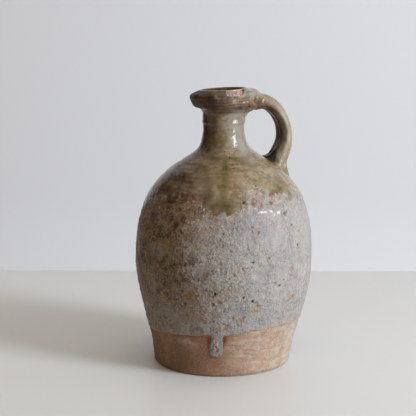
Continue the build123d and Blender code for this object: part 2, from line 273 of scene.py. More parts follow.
# where the glossy coat stops, round the pot
GLOSS_EDGE = [
    (-205, 149), (-198, 145), (-192.6, 147), (-185.2, 151.5), (-173.3, 154.4), (-160.9, 155.4), (-151, 155.9), (-142.6, 157.2),
    (-134.6, 157.3), (-130.5, 154.0), (-127, 148.6), (-121.4, 147.6), (-117.3, 147.8), (-109.2, 147.4), (-105.1, 149.3),
    (-101.0, 154.0), (-97.2, 157.2), (-93.1, 161.3), (-88.7, 165.2), (-81.9, 167.2), (-78.2, 163.6), (-73.8, 160.6),
    (-65.5, 161.2), (-60.3, 159.4), (-57.2, 156.0), (-50, 158.5), (-44.9, 160.5), (-29.4, 159.6), (-18, 152), (-6, 158),
    (8, 163), (20, 150), (28, 146), (37, 155), (52, 162), (66, 158), (74, 149), (83, 147), (92, 154), (106, 160), (118, 157),
    (127, 149), (140, 151),
]  # fmt: skip

# where the matte coat stops above the foot
MATTE_EDGE = [
    (-205, 33), (-184.3, 32.6), (-171.3, 34.7), (-161.5, 36.5), (-146.5, 37.7), (-134.3, 38.6), (-126.7, 39.6), (-114.6, 40.1),
    (-107.6, 41.5), (-102, 42.4), (-94.8, 43.2), (-85.5, 43.4), (-74.3, 43.9), (-57, 43.2), (-44, 42.4), (-20, 40), (10, 37),
    (40, 38), (70, 42), (100, 40), (130, 36),
]  # fmt: skip

RUN_AT = [(18, -119.7), (26, -119.4), (32, -118.9), (39, -118.3), (56, -118.6), (75, -119.6), (95, -120.5)]
RUN_HALF = [(18, 6.3), (26, 6.6), (31, 6.0), (36, 5.2), (41, 4.9), (56, 4.6), (75, 4.0), (95, 3.0)]


def table(x, pairs):
    return np.interp(x, [a for a, _ in pairs], [b for _, b in pairs])


def run_field(theta, z, r):
    """mm inside the edge of the glaze run, negative outside it."""
    x = np.radians(angle_gap(theta, table(z, RUN_AT))) * r
    w = table(z, RUN_HALF)
    side = w - np.abs(x)
    end = 6.6 - np.hypot(x, np.minimum(z - 25.4, 0))
    return np.where(z < 25.4, end, side), x / np.maximum(w, 0.1)


def spot_fields(theta, z, r, p):
    """Depth of all pits, and how much of each kind shows, at these places."""
    depth = np.zeros_like(z)
    kinds = {k: np.zeros_like(z) for k in ("dark", "umber", "rust", "ochre", "peach", "rim")}
    wob = 0.5 * gnoise(p / 1.5, 5) + 0.35 * gnoise(p / 3.4, 6)
    for at, h, wide, high, tilt, deep, kind in SPOTS:
        ragged = 1.0
        if kind == "dark" and at < -125:
            kind, deep, ragged = "umber", 0.4 * deep, 1.9
        grow = {"ochre": 1.3, "dark": 1.0, "rust": 1.1, "umber": 1.25}.get(kind, 1.1)
        wide, high = wide * grow, high * grow
        reach = 2.6 * max(wide, high)
        dz = z - h
        dx = np.radians(angle_gap(theta, at)) * r
        near = (np.abs(dz) < reach) & (np.abs(dx) < reach)
        if not near.any():
            continue
        c, s = math.cos(math.radians(tilt)), math.sin(math.radians(tilt))
        a, b = dx[near] * c + dz[near] * s, dz[near] * c - dx[near] * s
        d = np.hypot(a / wide, b / high) + ragged * wob[near]
        bowl = np.exp(-((d / 0.75) ** 2) * 1.3)
        lip = np.exp(-(((d - 1.25) / 0.35) ** 2))
        if kind == "rim":
            depth[near] += deep * (0.35 * bowl - 0.55 * lip)
            kinds["rim"][near] = np.maximum(kinds["rim"][near], 0.5 * lip * ramp(wob[near], -0.2, 0.3))
            continue
        depth[near] += deep * bowl - 0.16 * deep * lip
        kinds[kind][near] = np.maximum(kinds[kind][near], 1 - ramp(d, 0.6, 1.2))
        if kind == "dark":
            kinds["rim"][near] = np.maximum(kinds["rim"][near], 0.18 * lip)
    # the arc that a tool or a bubble's edge left low on the right
    dx, dz = np.radians(angle_gap(theta, -63.6)) * r, z - 57.0
    arc = np.exp(-(((np.hypot(dx / 1.12, dz / 0.95) - 7.6) / 0.55) ** 2)) * ramp(-dx + 0.6 * dz, -3.0, 4.0)
    depth += 0.28 * arc
    kinds["rust"] = np.maximum(kinds["rust"], 0.55 * arc * ramp(wob, -0.35, 0.1))
    return depth, kinds


def rings(z, p, period, seed):
    """Throwing rings: ridges round the pot that wander and fade."""
    wander = 1.3 * gnoise(p / 55.0, seed) + 0.4 * gnoise(p / 17.0, seed + 1)
    wave = np.sin((z / period + wander) * 2 * math.pi)
    return wave * (0.55 + 0.45 * gnoise(np.stack([p[..., 0] / 60, p[..., 1] / 60, p[..., 2] / (period * 1.7)], -1), seed + 2))


def body_relief(s, theta, r, z, p):
    """The clay's own unevenness under the coats, in mm."""
    d = 0.20 * rings(z, p, 9.0, 11) * ramp(z, 20, 60) * (1 - ramp(z, 186, 200))
    d += 0.10 * rings(z, p, 3.6, 14) * ramp(z, 120, 150) * (1 - ramp(z, 190, 205))
    d += 0.22 * fbm(p, 26.0, 2, 21) * ramp(r, 20, 45)
    on_neck = ramp(z, 196, 206) * (1 - ramp(z, 226, 231))
    d += on_neck * 0.16 * rings(z, p, 6.5, 17)
    d += 0.75 * np.exp(-(((z - 220.3) / 1.5) ** 2)) * (s < S_CREST)
    d -= 0.45 * np.exp(-(((z - 228.6) / 1.1) ** 2)) * (s < S_CREST)
    on_collar = ramp(z, 234.5, 237) * (1 - ramp(z, 244.6, 246.0)) * (s < S_CREST)
    d += on_collar * 0.26 * rings(z, p, 2.6, 19)
    worn = np.exp(-(((z - 244.5) / 3.0) ** 2)) * (s < S_CREST)
    d += worn * (0.5 * fbm(p, 9.0, 3, 23) - 0.1)
    return d


# the chip in the lip, and small losses on the collar's lower edge
def chip_field(theta, z, s, p):
    wob = gnoise(p / 2.6, 31)
    a = np.radians(angle_gap(theta, FRONT))
    x = np.where(np.cos(a) > 0.2, np.hypot(p[..., 0], p[..., 1]) * np.sin(a), -99.0)
    low_edge = s_at(np.interp(x, [2, 4, 8.5, 12.5, 15, 19], [247.0, 246.2, 243.8, 245.0, 244.6, 246.8])) + 0.8 * wob
    inside_s = ramp(s, low_edge - 0.3, low_edge + 0.3) * (1 - ramp(s, S_CREST - 0.9, S_CREST + 0.5))
    grey = ramp(x + 1.1 * wob, 2.7, 3.3) * (1 - ramp(x + 0.9 * wob, 12.0, 12.5))
    pink = ramp(x + 0.9 * wob, 12.0, 12.5) * (1 - ramp(x + 1.6 * wob, 17.4, 18.6))
    low = np.zeros_like(z)
    for at, h, w, dz in ((-176, 235.6, 6, 1.3), (-166, 235.0, 5, 1.2), (-190, 237.6, 4, 1.2), (-60, 235.0, 4, 1.0), (95, 245.6, 8, 1.6), (150, 236.0, 6, 1.2)):
        k = 1 - ramp(np.hypot(np.radians(angle_gap(theta, at)) * 28 / w * 1.6, (z - h) / dz) + 0.35 * wob, 0.6, 1.25)
        low = np.maximum(low, k * (s < S_CREST))
    return grey * inside_s, pink * inside_s, low


def blobs(theta, z, marks):
    """Soft patches: (polar angle, height, half-width in degrees, half-height, strength)."""
    out = np.zeros_like(z)
    for at, h, w, t, k in marks:
        out = np.maximum(out, k * np.exp(-((angle_gap(theta, at) / w) ** 2) - ((z - h) / t) ** 2))
    return out


# --------------------------------------------------------------------------- mesh making
PIECES = {}
INNER = {}  # which faces of the handle's pieces are on its inner side, in shade; they take a copy of the glaze that reflects less, as painted shade


def build(name, verts, quads, uvs, node, attrs=None, normals=None, tris=None):
    """A mesh object from arrays: quads (and tris) of vertex numbers, and one uv per corner."""
    mesh = bpy.data.meshes.new(name)
    faces = [quads.reshape(-1)]
    sizes = [np.full(len(quads), 4)]
    if tris is not None and len(tris):
        faces.append(tris.reshape(-1))
        sizes.append(np.full(len(tris), 3))
    loop = np.concatenate(faces).astype(np.int32)
    total = np.concatenate(sizes).astype(np.int32)
    start = np.concatenate([[0], np.cumsum(total)[:-1]]).astype(np.int32)
    mesh.vertices.add(len(verts))
    mesh.vertices.foreach_set("co", (verts * 0.001).astype(np.float32).reshape(-1))
    mesh.loops.add(len(loop))
    mesh.loops.foreach_set("vertex_index", loop)
    mesh.polygons.add(len(total))
    mesh.polygons.foreach_set("loop_start", start)
    mesh.polygons.foreach_set("loop_total", total)
    mesh.update(calc_edges=True)
    mesh.validate()
    mesh.polygons.foreach_set("use_smooth", np.ones(len(total), dtype=bool))
    layer = mesh.uv_layers.new(name="OFBake")
    layer.data.foreach_set("uv", uvs.astype(np.float32).reshape(-1))
    for key, value in (attrs or {}).items():
        a = mesh.attributes.new(key, "FLOAT", "POINT")
        a.data.foreach_set("value", np.asarray(value, dtype=np.float32).reshape(-1))
    if normals is not None:
        mesh.normals_split_custom_set_from_vertices([tuple(n) for n in normals])
    obj = bpy.data.objects.new(name, mesh)
    bpy.context.scene.collection.objects.link(obj)
    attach(obj, "root")
    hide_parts(node)
    PIECES[name] = obj
    return obj


def torus(rows, cols, v_edges):
    """Quads and uvs of a grid closed both ways; v_edges holds rows + 1 values of v."""
    i, j = np.meshgrid(np.arange(rows), np.arange(cols), indexing="ij")
    i, j = i.reshape(-1), j.reshape(-1)
    i1, j1 = (i + 1) % rows, (j + 1) % cols
    quads = np.stack([i * cols + j, i * cols + j1, i1 * cols + j1, i1 * cols + j], axis=1)
    u0, u1 = j / cols, (j + 1) / cols
    v0, v1 = v_edges[i], v_edges[i + 1]
    uvs = np.stack([np.stack([u0, v0], 1), np.stack([u1, v0], 1), np.stack([u1, v1], 1), np.stack([u0, v1], 1)], axis=1)
    return quads, uvs


def v_from(weights):
    v = np.concatenate([[0], np.cumsum(weights)])
    return 0.002 + 0.996 * v / v[-1]


def thetas(cols):
    """Column angles; the seam of the unwrap is on the far side."""
    return 66.0 + np.arange(cols) * 360.0 / cols


def loft(r, z, cols):
    """Places (rows, cols, 3) of a turned loop given as radii and heights."""
    th = np.broadcast_to(thetas(cols), (len(r), cols))
    return place(np.asarray(r)[:, None] + 0 * th, np.asarray(z)[:, None] + 0 * th, th), th


# -------------------------------------------------------------------------- bare clay
INSIDE = [
    (53.0, 9.0), (56.4, 15.0), (59.3, 24.0), (63.6, 38.0), (68.6, 56.0), (72.6, 76.0), (74.2, 98.0), (73.4, 118.0), (70.1, 134.0),
    (65.0, 150.0), (59.5, 160.0), (51.2, 170.0), (39.6, 180.0), (23.5, 190.0),
]  # fmt: skip


def clay_attrs(theta, z, p, shape):
    """What the bare clay shows: pale side, smears of slip, red halos beside the run, scorched side, orange bloom."""
    r = np.hypot(p[..., 0], p[..., 1])
    run, _ = run_field(theta, z, r)
    line = ring_interp(theta, MATTE_EDGE)
    under = ramp(line - z, -2.5, 0.5)
    reach = 1.5 + 2.6 * ramp(z, 27, 40)
    halo = 1.5 * np.exp(-((np.maximum(-run, 0) / reach) ** 2)) * ramp(z, 25, 35) * under
    halo *= 1.0 + 0.5 * gnoise(p / 4.0, 61)
    edge = np.exp(-(((line - z - 0.8) / 1.3) ** 2)) * ramp(angle_gap(theta, -128), -34, 6) * (1 - ramp(angle_gap(theta, -108), -4, 6))
    wander = 9 * fbm(p, 24.0, 3, 62)
    right = ramp(angle_gap(theta, -107) + wander, -12, 22) * (1 - ramp(angle_gap(theta, -30), -10, 30))
    back = 0.75 * ramp(angle_gap(theta, 60) + wander, -70, -30) * (1 - ramp(angle_gap(theta, 60) + wander, 40, 80))
    pale = np.maximum(right, back)
    q = np.stack([p[..., 0], p[..., 1], p[..., 2] * 2.4], -1)
    smear = ramp(fbm(q, 15.0, 4, 63) + 0.25 * ramp(z, 10, 30), -0.05, 0.75)
    cream = blobs(theta, z, ((-103.5, 33.5, 5, 3.5, 0.9), (-92, 31, 7, 4.5, 1.0), (-84, 31, 6, 4.5, 0.9), (-142, 31.7, 7, 3.2, 0.8), (-97, 22, 9, 4, 0.8), (-63, 26, 6, 7, 0.6), (-86, 23, 5, 3, 0.7), (-70, 18, 7, 5, 0.6), (-88, 6, 9, 3.5, 0.8), (-72, 5, 9, 4, 0.9), (-58, 8, 8, 6, 0.7)))
    peach = blobs(theta, z, ((-72.5, 36, 6, 3.6, 1.0), (-66, 36, 5, 3.5, 0.9), (-78.6, 32, 4, 2.6, 0.8), (-80, 18.8, 4.5, 4.5, 0.9), (-75, 24.5, 4, 3.5, 0.7), (-88, 42, 6, 2.6, 0.7), (-107.5, 38.1, 4, 1.6, 0.9), (-103, 12, 9, 5, 0.4), (-50, 30, 5, 6, 0.5), (30, 26, 9, 7, 0.9), (74, 20, 10, 6, 0.8), (110, 32, 7, 6, 0.7)))
    peach = peach * ramp(fbm(p, 8.0, 3, 66), -0.55, 0.2)
    dark = ramp(angle_gap(theta, -170), -60, -20) * (1 - ramp(angle_gap(theta, -146) + wander, -10, 30))
    return {
        "rust": np.clip(np.maximum(halo, 0.5 * edge), 0, 1).reshape(shape),
        "pale": pale.reshape(shape),
        "smear": np.clip(np.maximum(smear * pale * 0.8, cream * ramp(fbm(q, 7.0, 3, 64), -0.6, 0.3)), 0, 1).reshape(shape),
        "peach": np.clip(peach, 0, 1).reshape(shape),
        "cool": (ramp(angle_gap(theta, -62) + wander, -6, 12) * (1 - ramp(angle_gap(theta, -20), -10, 20))).reshape(shape),
        "scorch": dark.reshape(shape),
        "scar": np.zeros(theta.size if shape == -1 else shape),
        "pink": np.zeros(theta.size if shape == -1 else shape),
    }


def make_body_wall():
    cols = 560
    zs = np.concatenate([np.arange(0.9, 58, 0.8)])
    s_out = np.concatenate([np.linspace(0, s_at(0.9), 6)[:-1], s_at(zs), s_at(np.linspace(62, 190, 26))])
    r_o, z_o, nr, nz = outside(s_out)
    p, th = loft(r_o, z_o, cols)
    zz = np.broadcast_to(z_o[:, None], th.shape)
    rr = np.broadcast_to(r_o[:, None], th.shape)
    ss = np.broadcast_to(s_out[:, None], th.shape)
    d = -0.22 * ramp(zz, 20, 44) - 0.95 * ramp(zz, 58, 66)
    shown = 1 - ramp(zz, 54, 62)
    d = d + shown * (body_relief(ss, th, rr, zz, p))
    turned = np.stack([p[..., 0] / 26, p[..., 1] / 26, p[..., 2] / 1.3], -1)
    d = d + shown * ramp(zz, 0.3, 4) * (0.10 * gnoise(turned, 71) + 0.07 * fbm(p, 2.6, 2, 72) + 0.10 * fbm(p, 9.0, 2, 73))
    dist, rnd = cells(p, 7.0, 3)
    d = d - shown * ramp(zz, 2, 6) * 0.5 * np.exp(-((dist / (0.5 + rnd[..., 0])) ** 2)) * (rnd[..., 1] > 0.45)
    drag = np.exp(-((angle_gap(th, -142.0) / 5.0) ** 2)) * np.exp(-(((zz - 26) / 3.0) ** 2))
    d = d - 0.25 * drag * (0.5 + gnoise(p / 1.6, 74))
    p = place(rr + nr[:, None] * d, np.maximum(zz + nz[:, None] * d, 0.0), th)
    nick = 0.9 * ramp(fbm(p, 6.0, 2, 75), 0.25, 0.8) * (1 - ramp(zz, 0.2, 3.4)) * ramp(rr, 61.2, 62.0)
    worn = 0.3 + 1.0 * np.exp(-((angle_gap(th, -84) / 28.0) ** 2)) + 0.4 * fbm(p, 14.0, 2, 76)
    p[..., 2] += nick + np.maximum(worn, 0) * (1 - ramp(zz, 0.0, 7.0)) ** 2 * ramp(rr, 61.2, 62.0)
    outer = settle(p)
    inner_r = [b for b, _ in INSIDE]
    inner_z = [b for _, b in INSIDE]
    zi = np.linspace(190, 9, 40)
    ri = np.interp(zi, inner_z, inner_r)
    pi, thi = loft(ri, zi, cols)
    inner = settle(place(np.broadcast_to(ri[:, None], thi.shape) + 0.25 * rings(pi[..., 2], pi, 8.0, 77), pi[..., 2], thi))
    under_r = np.array([53.0, 55.0, 57.0, 59.0, 60.4])
    pu, thu = loft(under_r, np.zeros(5), cols)
    under = settle(pu)
    under[..., 2] = np.maximum(0.0, 0.12 * (0.4 + gnoise(pu / 3.0, 78))) * np.array([0.3, 1, 1, 1, 0.6])[:, None]
    grid = np.concatenate([outer, inner, under])
    rows = len(grid)
    quads, uvs = torus(rows, cols, v_from(np.concatenate([np.full(len(outer), 1.0), np.full(len(inner), 0.5), np.full(5, 0.6)])))
    # the floor's rings lie further out than the foot's, so they follow the inside and close on the foot
    allp = np.concatenate([place(rr, zz, th), pi, pu])
    tt = np.concatenate([th, thi, thu])
    attrs = clay_attrs(tt, allp[..., 2], allp, -1)
    return build("body_wall_clay", grid.reshape(-1, 3), quads, uvs, "body_wall", attrs)


def make_base_disc():
    cols = 200
    rad = np.concatenate([np.linspace(1.2, 53.0, 48)])
    th = np.broadcast_to(thetas(cols), (len(rad), cols))
    rr = np.broadcast_to(rad[:, None], th.shape)
    low = place(rr, 0 * rr, th)
    cut = np.sin((np.hypot(low[..., 0] + 18, low[..., 1] - 9) / 4.4 + 0.5 * gnoise(low / 20.0, 81)) * 2 * math.pi)
    fade = ramp(53.0 - rr, 0.0, 2.0)
    low[..., 2] = fade * np.maximum(0.0, 0.22 + 0.16 * cut + 0.16 * fbm(low, 4.0, 2, 82))
    top = place(rr, 0 * rr + 9.0, th)
    swirl = np.sin((rr / 9.0 + th / 360.0) * 2 * math.pi)
    top[..., 2] = 9.0 + fade * (0.3 * swirl + 0.2 * fbm(top, 7.0, 2, 83))
    grid = np.concatenate([low[::1], top[::-1]])
    grid = settle(grid)
    grid[: len(rad), :, 2] = low[..., 2]
    rows = len(grid)
    i, j = np.meshgrid(np.arange(rows - 1), np.arange(cols), indexing="ij")
    i, j = i.reshape(-1), j.reshape(-1)
    j1 = (j + 1) % cols
    quads = np.stack([i * cols + j, i * cols + j1, (i + 1) * cols + j1, (i + 1) * cols + j], axis=1)
    # underside faces down: the rings run outwards below and inwards above
    v = np.linspace(0.01, 0.99, rows)
    uvs = np.stack([np.stack([j / cols, v[i]], 1), np.stack([(j + 1) / cols, v[i]], 1), np.stack([(j + 1) / cols, v[i + 1]], 1), np.stack([j / cols, v[i + 1]], 1)], axis=1)
    verts = grid.reshape(-1, 3)
    verts = np.concatenate([verts, [grid[0].mean(0), grid[-1].mean(0)]])
    c0, c1 = len(verts) - 2, len(verts) - 1
    jj = np.arange(cols)
    fan0 = np.stack([np.full(cols, c0), (jj + 1) % cols, jj], axis=1)
    base = (rows - 1) * cols
    fan1 = np.stack([np.full(cols, c1), base + jj, base + (jj + 1) % cols], axis=1)
    tuv0 = np.stack([np.stack([(jj + 0.5) / cols, 0 * jj + 0.002], 1), np.stack([(jj + 1) / cols, 0 * jj + 0.01], 1), np.stack([jj / cols, 0 * jj + 0.01], 1)], axis=1)
    tuv1 = np.stack([np.stack([(jj + 0.5) / cols, 0 * jj + 0.998], 1), np.stack([jj / cols, 0 * jj + 0.99], 1), np.stack([(jj + 1) / cols, 0 * jj + 0.99], 1)], axis=1)
    uv = np.concatenate([uvs.reshape(-1, 2), tuv0.reshape(-1, 2), tuv1.reshape(-1, 2)])
    n = len(verts)
    q = verts
    attrs = {"rust": np.zeros(n), "pale": 0.5 * np.ones(n), "smear": 0.5 * ramp(fbm(q, 18.0, 3, 84), 0.0, 0.5), "peach": 0.7 * ramp(fbm(q, 15.0, 2, 85), 0.2, 0.5), "scorch": 0.25 * np.ones(n), "scar": np.zeros(n), "pink": np.zeros(n)}
    return build("base_disc_clay", verts, quads, uv, "base_disc", attrs, tris=np.concatenate([fan0, fan1]))


def make_neck():
    cols = 240
    z_up = np.linspace(190, 231, 24)
    r_o, _, nr, nz = outside(s_at(z_up))
    z_dn = np.linspace(231, 190, 30)
    r_i = np.interp(z_dn, [190, 193, 196, 199, 202, 240], [23.5, 19.0, 15.6, 13.4, 12.5, 12.5])
    r = np.concatenate([r_o - 0.95 - 1.6 * ramp(z_up, 221, 228), r_i])
    z = np.concatenate([z_up, z_dn])
    p, th = loft(r, z, cols)
    inner = (np.arange(len(r)) >= len(r_o))[:, None]
    push = np.where(inner, 0.2 * rings(p[..., 2], p, 4.5, 86), 0.0)
    p = place(np.broadcast_to(r[:, None], th.shape) + push, p[..., 2], th)
    quads, uvs = torus(len(r), cols, v_from(np.ones(len(r))))
    attrs = clay_attrs(th, p[..., 2], p, -1)
    attrs = {k: 0 * v for k, v in attrs.items()}
    attrs["scorch"] = 0.9 + 0 * attrs["rust"]
    return build("neck_clay", settle(p).reshape(-1, 3), quads, uvs, "neck", attrs)


def make_rim_collar():
    cols = 480
    s = np.concatenate([np.linspace(s_at(231.2), s_at(242.0), 22)[:-1], np.arange(s_at(242.0), S_CREST + 4, 0.42), np.linspace(S_CREST + 5, S_END, 12)])
    r_o, z_o, nr, nz = outside(s)
    p, th = loft(r_o, z_o, cols)
    ss, rr, zz = (np.broadcast_to(a[:, None], th.shape) for a in (s, r_o, z_o))
    grey, pink, low = chip_field(th, zz, ss, p)
    d = -0.42 + body_relief(ss, th, rr, zz, p)
    facet = 0.22 * fbm(p, 3.2, 2, 33) + 0.14 * gnoise(p / 1.1, 34)
    d = d - np.maximum(grey, pink) * (0.85 + facet) - low * (0.9 + 0.4 * gnoise(p / 1.8, 35))
    q = place(rr + nr[:, None] * d, zz + nz[:, None] * d, th)
    back_r = np.concatenate([np.full(10, 12.5), np.linspace(13.5, 17.0, 4)])
    back_z = np.concatenate([np.linspace(235, 231, 10), np.full(4, 231.0)])
    pb, thb = loft(back_r, back_z, cols)
    grid = np.concatenate([q, pb])
    quads, uvs = torus(len(grid), cols, v_from(np.concatenate([np.ones(len(q)), np.full(14, 0.3)])))
    pad = np.zeros(thb.shape)
    crack = np.exp(-(((np.hypot(p[..., 0], p[..., 1]) * np.sin(np.radians(angle_gap(th, FRONT))) - 12.4) / 0.6) ** 2)) * np.maximum(grey, pink)
    attrs = {
        "rust": np.concatenate([np.maximum(0.6 * low, 0.7 * crack), pad]),
        "pale": np.concatenate([0 * low, pad]),
        "smear": np.concatenate([0 * low, pad]),
        "peach": np.concatenate([0 * low, pad]),
        "scorch": np.concatenate([1 - np.maximum(grey, pink), pad + 1]),
        "scar": np.concatenate([grey, pad]),
        "pink": np.concatenate([pink, pad]),
    }
    return build("rim_collar_clay", settle(grid).reshape(-1, 3), quads, uvs, "rim_collar", attrs)


# ------------------------------------------------------------------------- the coats
# over how many mm the glossy coat turns dry towards its edge
SOFT = (
    (-205, 10), (-170, 14), (-150, 14), (-138, 11), (-131, 6), (-126, 2.2), (-106, 2.0), (-101, 5), (-96, 7), (-88, 6.5), (-78, 5), (-66, 5),
    (-55, 9), (-40, 10), (0, 10), (60, 10), (120, 9),
)  # fmt: skip


def gloss_presence(theta, z, p):
    """mm above the glossy coat's lower edge, measured up the pot; negative below it."""
    edge = ring_interp(theta, GLOSS_EDGE) - 0.5 * ring_interp(theta, SOFT)
    loose = 1.0 - 0.3 * np.exp(-((angle_gap(theta, -116) / 13.0) ** 2))
    return z - edge + loose * (3.0 * fbm(p, 9.0, 4, 91, 0.6) + 1.2 * gnoise(p / 1.8, 92))


# where the fire's side has turned the coats brown, on the matte coat and on the glossy one
MATTE_BURN = (
    (-138, 160, 12, 7, 0.7), (-151, 168, 12, 8, 0.6),
    (-178, 145, 22, 22, 0.9), (-158, 140, 13, 16, 1.1), (-146, 140, 7, 12, 1.0), (-180, 108, 16, 20, 0.7), (-160, 128, 9, 8, 0.9), (-157, 104, 10, 9, 1.0),
    (-146, 96, 13, 13, 1.1), (-133, 95, 9, 9, 0.85), (-152, 84, 9, 9, 0.8), (-138, 108, 8, 7, 0.7), (-122, 97, 5, 7, 0.35), (-165, 62, 16, 12, 0.35),
    (-186, 70, 14, 20, 0.5), (-146, 62, 10, 9, 0.3), (-134, 150, 6, 6, 0.7), (-127, 145, 5, 6, 0.4),
)  # fmt: skip
GLOSS_BURN = (
    (-172, 158, 26, 16, 1.0), (-153, 161, 13, 13, 1.1), (-165, 176, 22, 12, 0.95), (-148, 170, 9, 8, 0.85), (-133, 172, 9, 8, 0.45), (-62, 234.5, 24, 3.0, 0.9), (-28, 233.5, 14, 4.0, 0.9), (-138, 161, 7, 6, 0.65),
    (-160, 148, 14, 8, 0.9), (-128, 158, 7, 6, 0.55), (-186, 205, 34, 24, 0.75), (-170, 212, 22, 18, 0.95), (-146, 214, 12, 14, 0.5), (-152, 223, 18, 5, 0.7), (-175, 240, 52, 12, 1.15),
    (-160, 247.5, 46, 4, 1.4), (-144, 196, 15, 8, 0.95), (-142, 182, 20, 9, 0.6), (-126, 187, 11, 7, 0.4), (-126, 214, 13, 15, 0.4), (-134, 162, 11, 6, 0.85), (-119, 176, 8, 7, 0.3), (-118, 154, 10, 7, 0.6), (-141, 177, 7, 5, 0.5), (-136, 240, 20, 10, 0.85), (-114, 238.5, 12, 6, 0.55), (-96, 237, 10, 3.5, 0.5), (-118, 230, 20, 3.0, 0.6), (-130, 248, 26, 3.0, 1.1),
)  # fmt: skip


def coat_loop(s, cols, depth_in, s_b):
    """Outer rows at arc lengths s, and the places of the rows at s_b that return behind them."""
    r_o, z_o, nr, nz = outside(s)
    p, th = loft(r_o, z_o, cols)
    rb, zb, nrb, nzb = outside(s_b)
    pb, thb = loft(rb, zb, cols)
    gone = np.maximum.reduce(chip_field(thb, np.broadcast_to(zb[:, None], thb.shape), np.broadcast_to(s_b[:, None], thb.shape), pb))
    d = depth_in + 2.4 * gone * (zb > 230)[:, None]
    pb = place(rb[:, None] - d * nrb[:, None], zb[:, None] - d * nzb[:, None], thb)
    return r_o, z_o, nr, nz, p, th, pb


def crust_relief(theta, z, p):
    """The matte coat's crust: how high it stands (0 to 1), its relief in mm, and its pores."""
    crust = 1 - np.abs(gnoise(p / 2.7, 104)) * 2.2
    rough_side = 0.5 + 0.5 * ramp(angle_gap(theta, -88) + 16 * fbm(p, 30.0, 2, 109), 18, -14)
    rough_side = np.maximum(rough_side, 0.9 * ramp(np.abs(angle_gap(theta, 90)) + 16 * fbm(p, 30.0, 2, 110), 60, 30))
    gritty = rough_side * (0.15 * fbm(p, 2.4, 2, 101) + 0.16 * crust + 0.10 * gnoise(p / 1.25, 116)) + 0.15 * fbm(p, 8.5, 2, 102)
    seam = np.exp(-(((z - 152.5) / 4.5) ** 2)) * ramp(angle_gap(theta, -100), -4, 4) * (1 - ramp(angle_gap(theta, -66), -3, 3))
    gritty = gritty + seam * 0.25 * (1 - np.abs(gnoise(p / 2.2, 117)) * 2.4)
    dist, rnd = cells(p, 6.0, 5)
    pore = np.exp(-((dist / (0.4 + 0.6 * rnd[..., 0])) ** 2)) * (rnd[..., 1] > 0.5)
    return crust, gritty, pore


def fire_side(theta, z, p):
    """How far the fire's side has warmed the matte coat, and where soot and ash have settled in it."""
    drift = 18 * fbm(p, 24.0, 4, 118, 0.6)
    left_of = angle_gap(theta + drift, -170)
    warm = np.where(left_of > 0, ramp(left_of, 80, 10), ramp(left_of, -110, -20))
    warm = warm * (1 - 0.35 * (1 - ramp(z, 48, 78)))
    soot = 1.25 * blobs(theta, z, MATTE_BURN) * (0.65 + 1.5 * fbm(p, 8.0, 4, 106, 0.68))
    soot = np.maximum(soot, 0.6 * ramp(fbm(p, 17.0, 3, 119), 0.1, 0.6) * (warm > 0.4) * warm)
    return np.clip(warm, 0, 1), np.clip(soot, 0, 1)


def wet_marks(theta, z, p):
    """Beads of glass standing on the crust below the glossy coat: their mask (for gloss, and for a painted white
    highlight in the colour), and relief in mm.
    """
    wave = 0.6 * gnoise(p / 2.4, 127)
    broken = 0.55 + 0.9 * ramp(gnoise(p / 1.5, 147), -0.35, 0.25)
    glass_bead_and_glint = np.zeros_like(z)
    for at, h, w, t in ((-86.5, 148.6, 3.0, 0.7), (-80.6, 148.8, 1.6, 0.8), (-74.2, 147.0, 1.5, 1.1), (-90.4, 148.2, 1.2, 0.6), (-109.6, 146.6, 1.4, 0.5), (-92.6, 152.0, 1.0, 0.5), (-78.0, 145.5, 1.0, 0.6), (40, 149, 4, 0.8), (88, 141, 3, 0.9), (118, 152, 4, 0.8)):
        glass_bead_and_glint = np.maximum(glass_bead_and_glint, np.exp(-((angle_gap(theta, at) / w) ** 4) - ((z - h + wave) / t) ** 2))
    glass_bead_and_glint = np.clip(glass_bead_and_glint * broken, 0, 1)
    return glass_bead_and_glint, 0.42 * glass_bead_and_glint


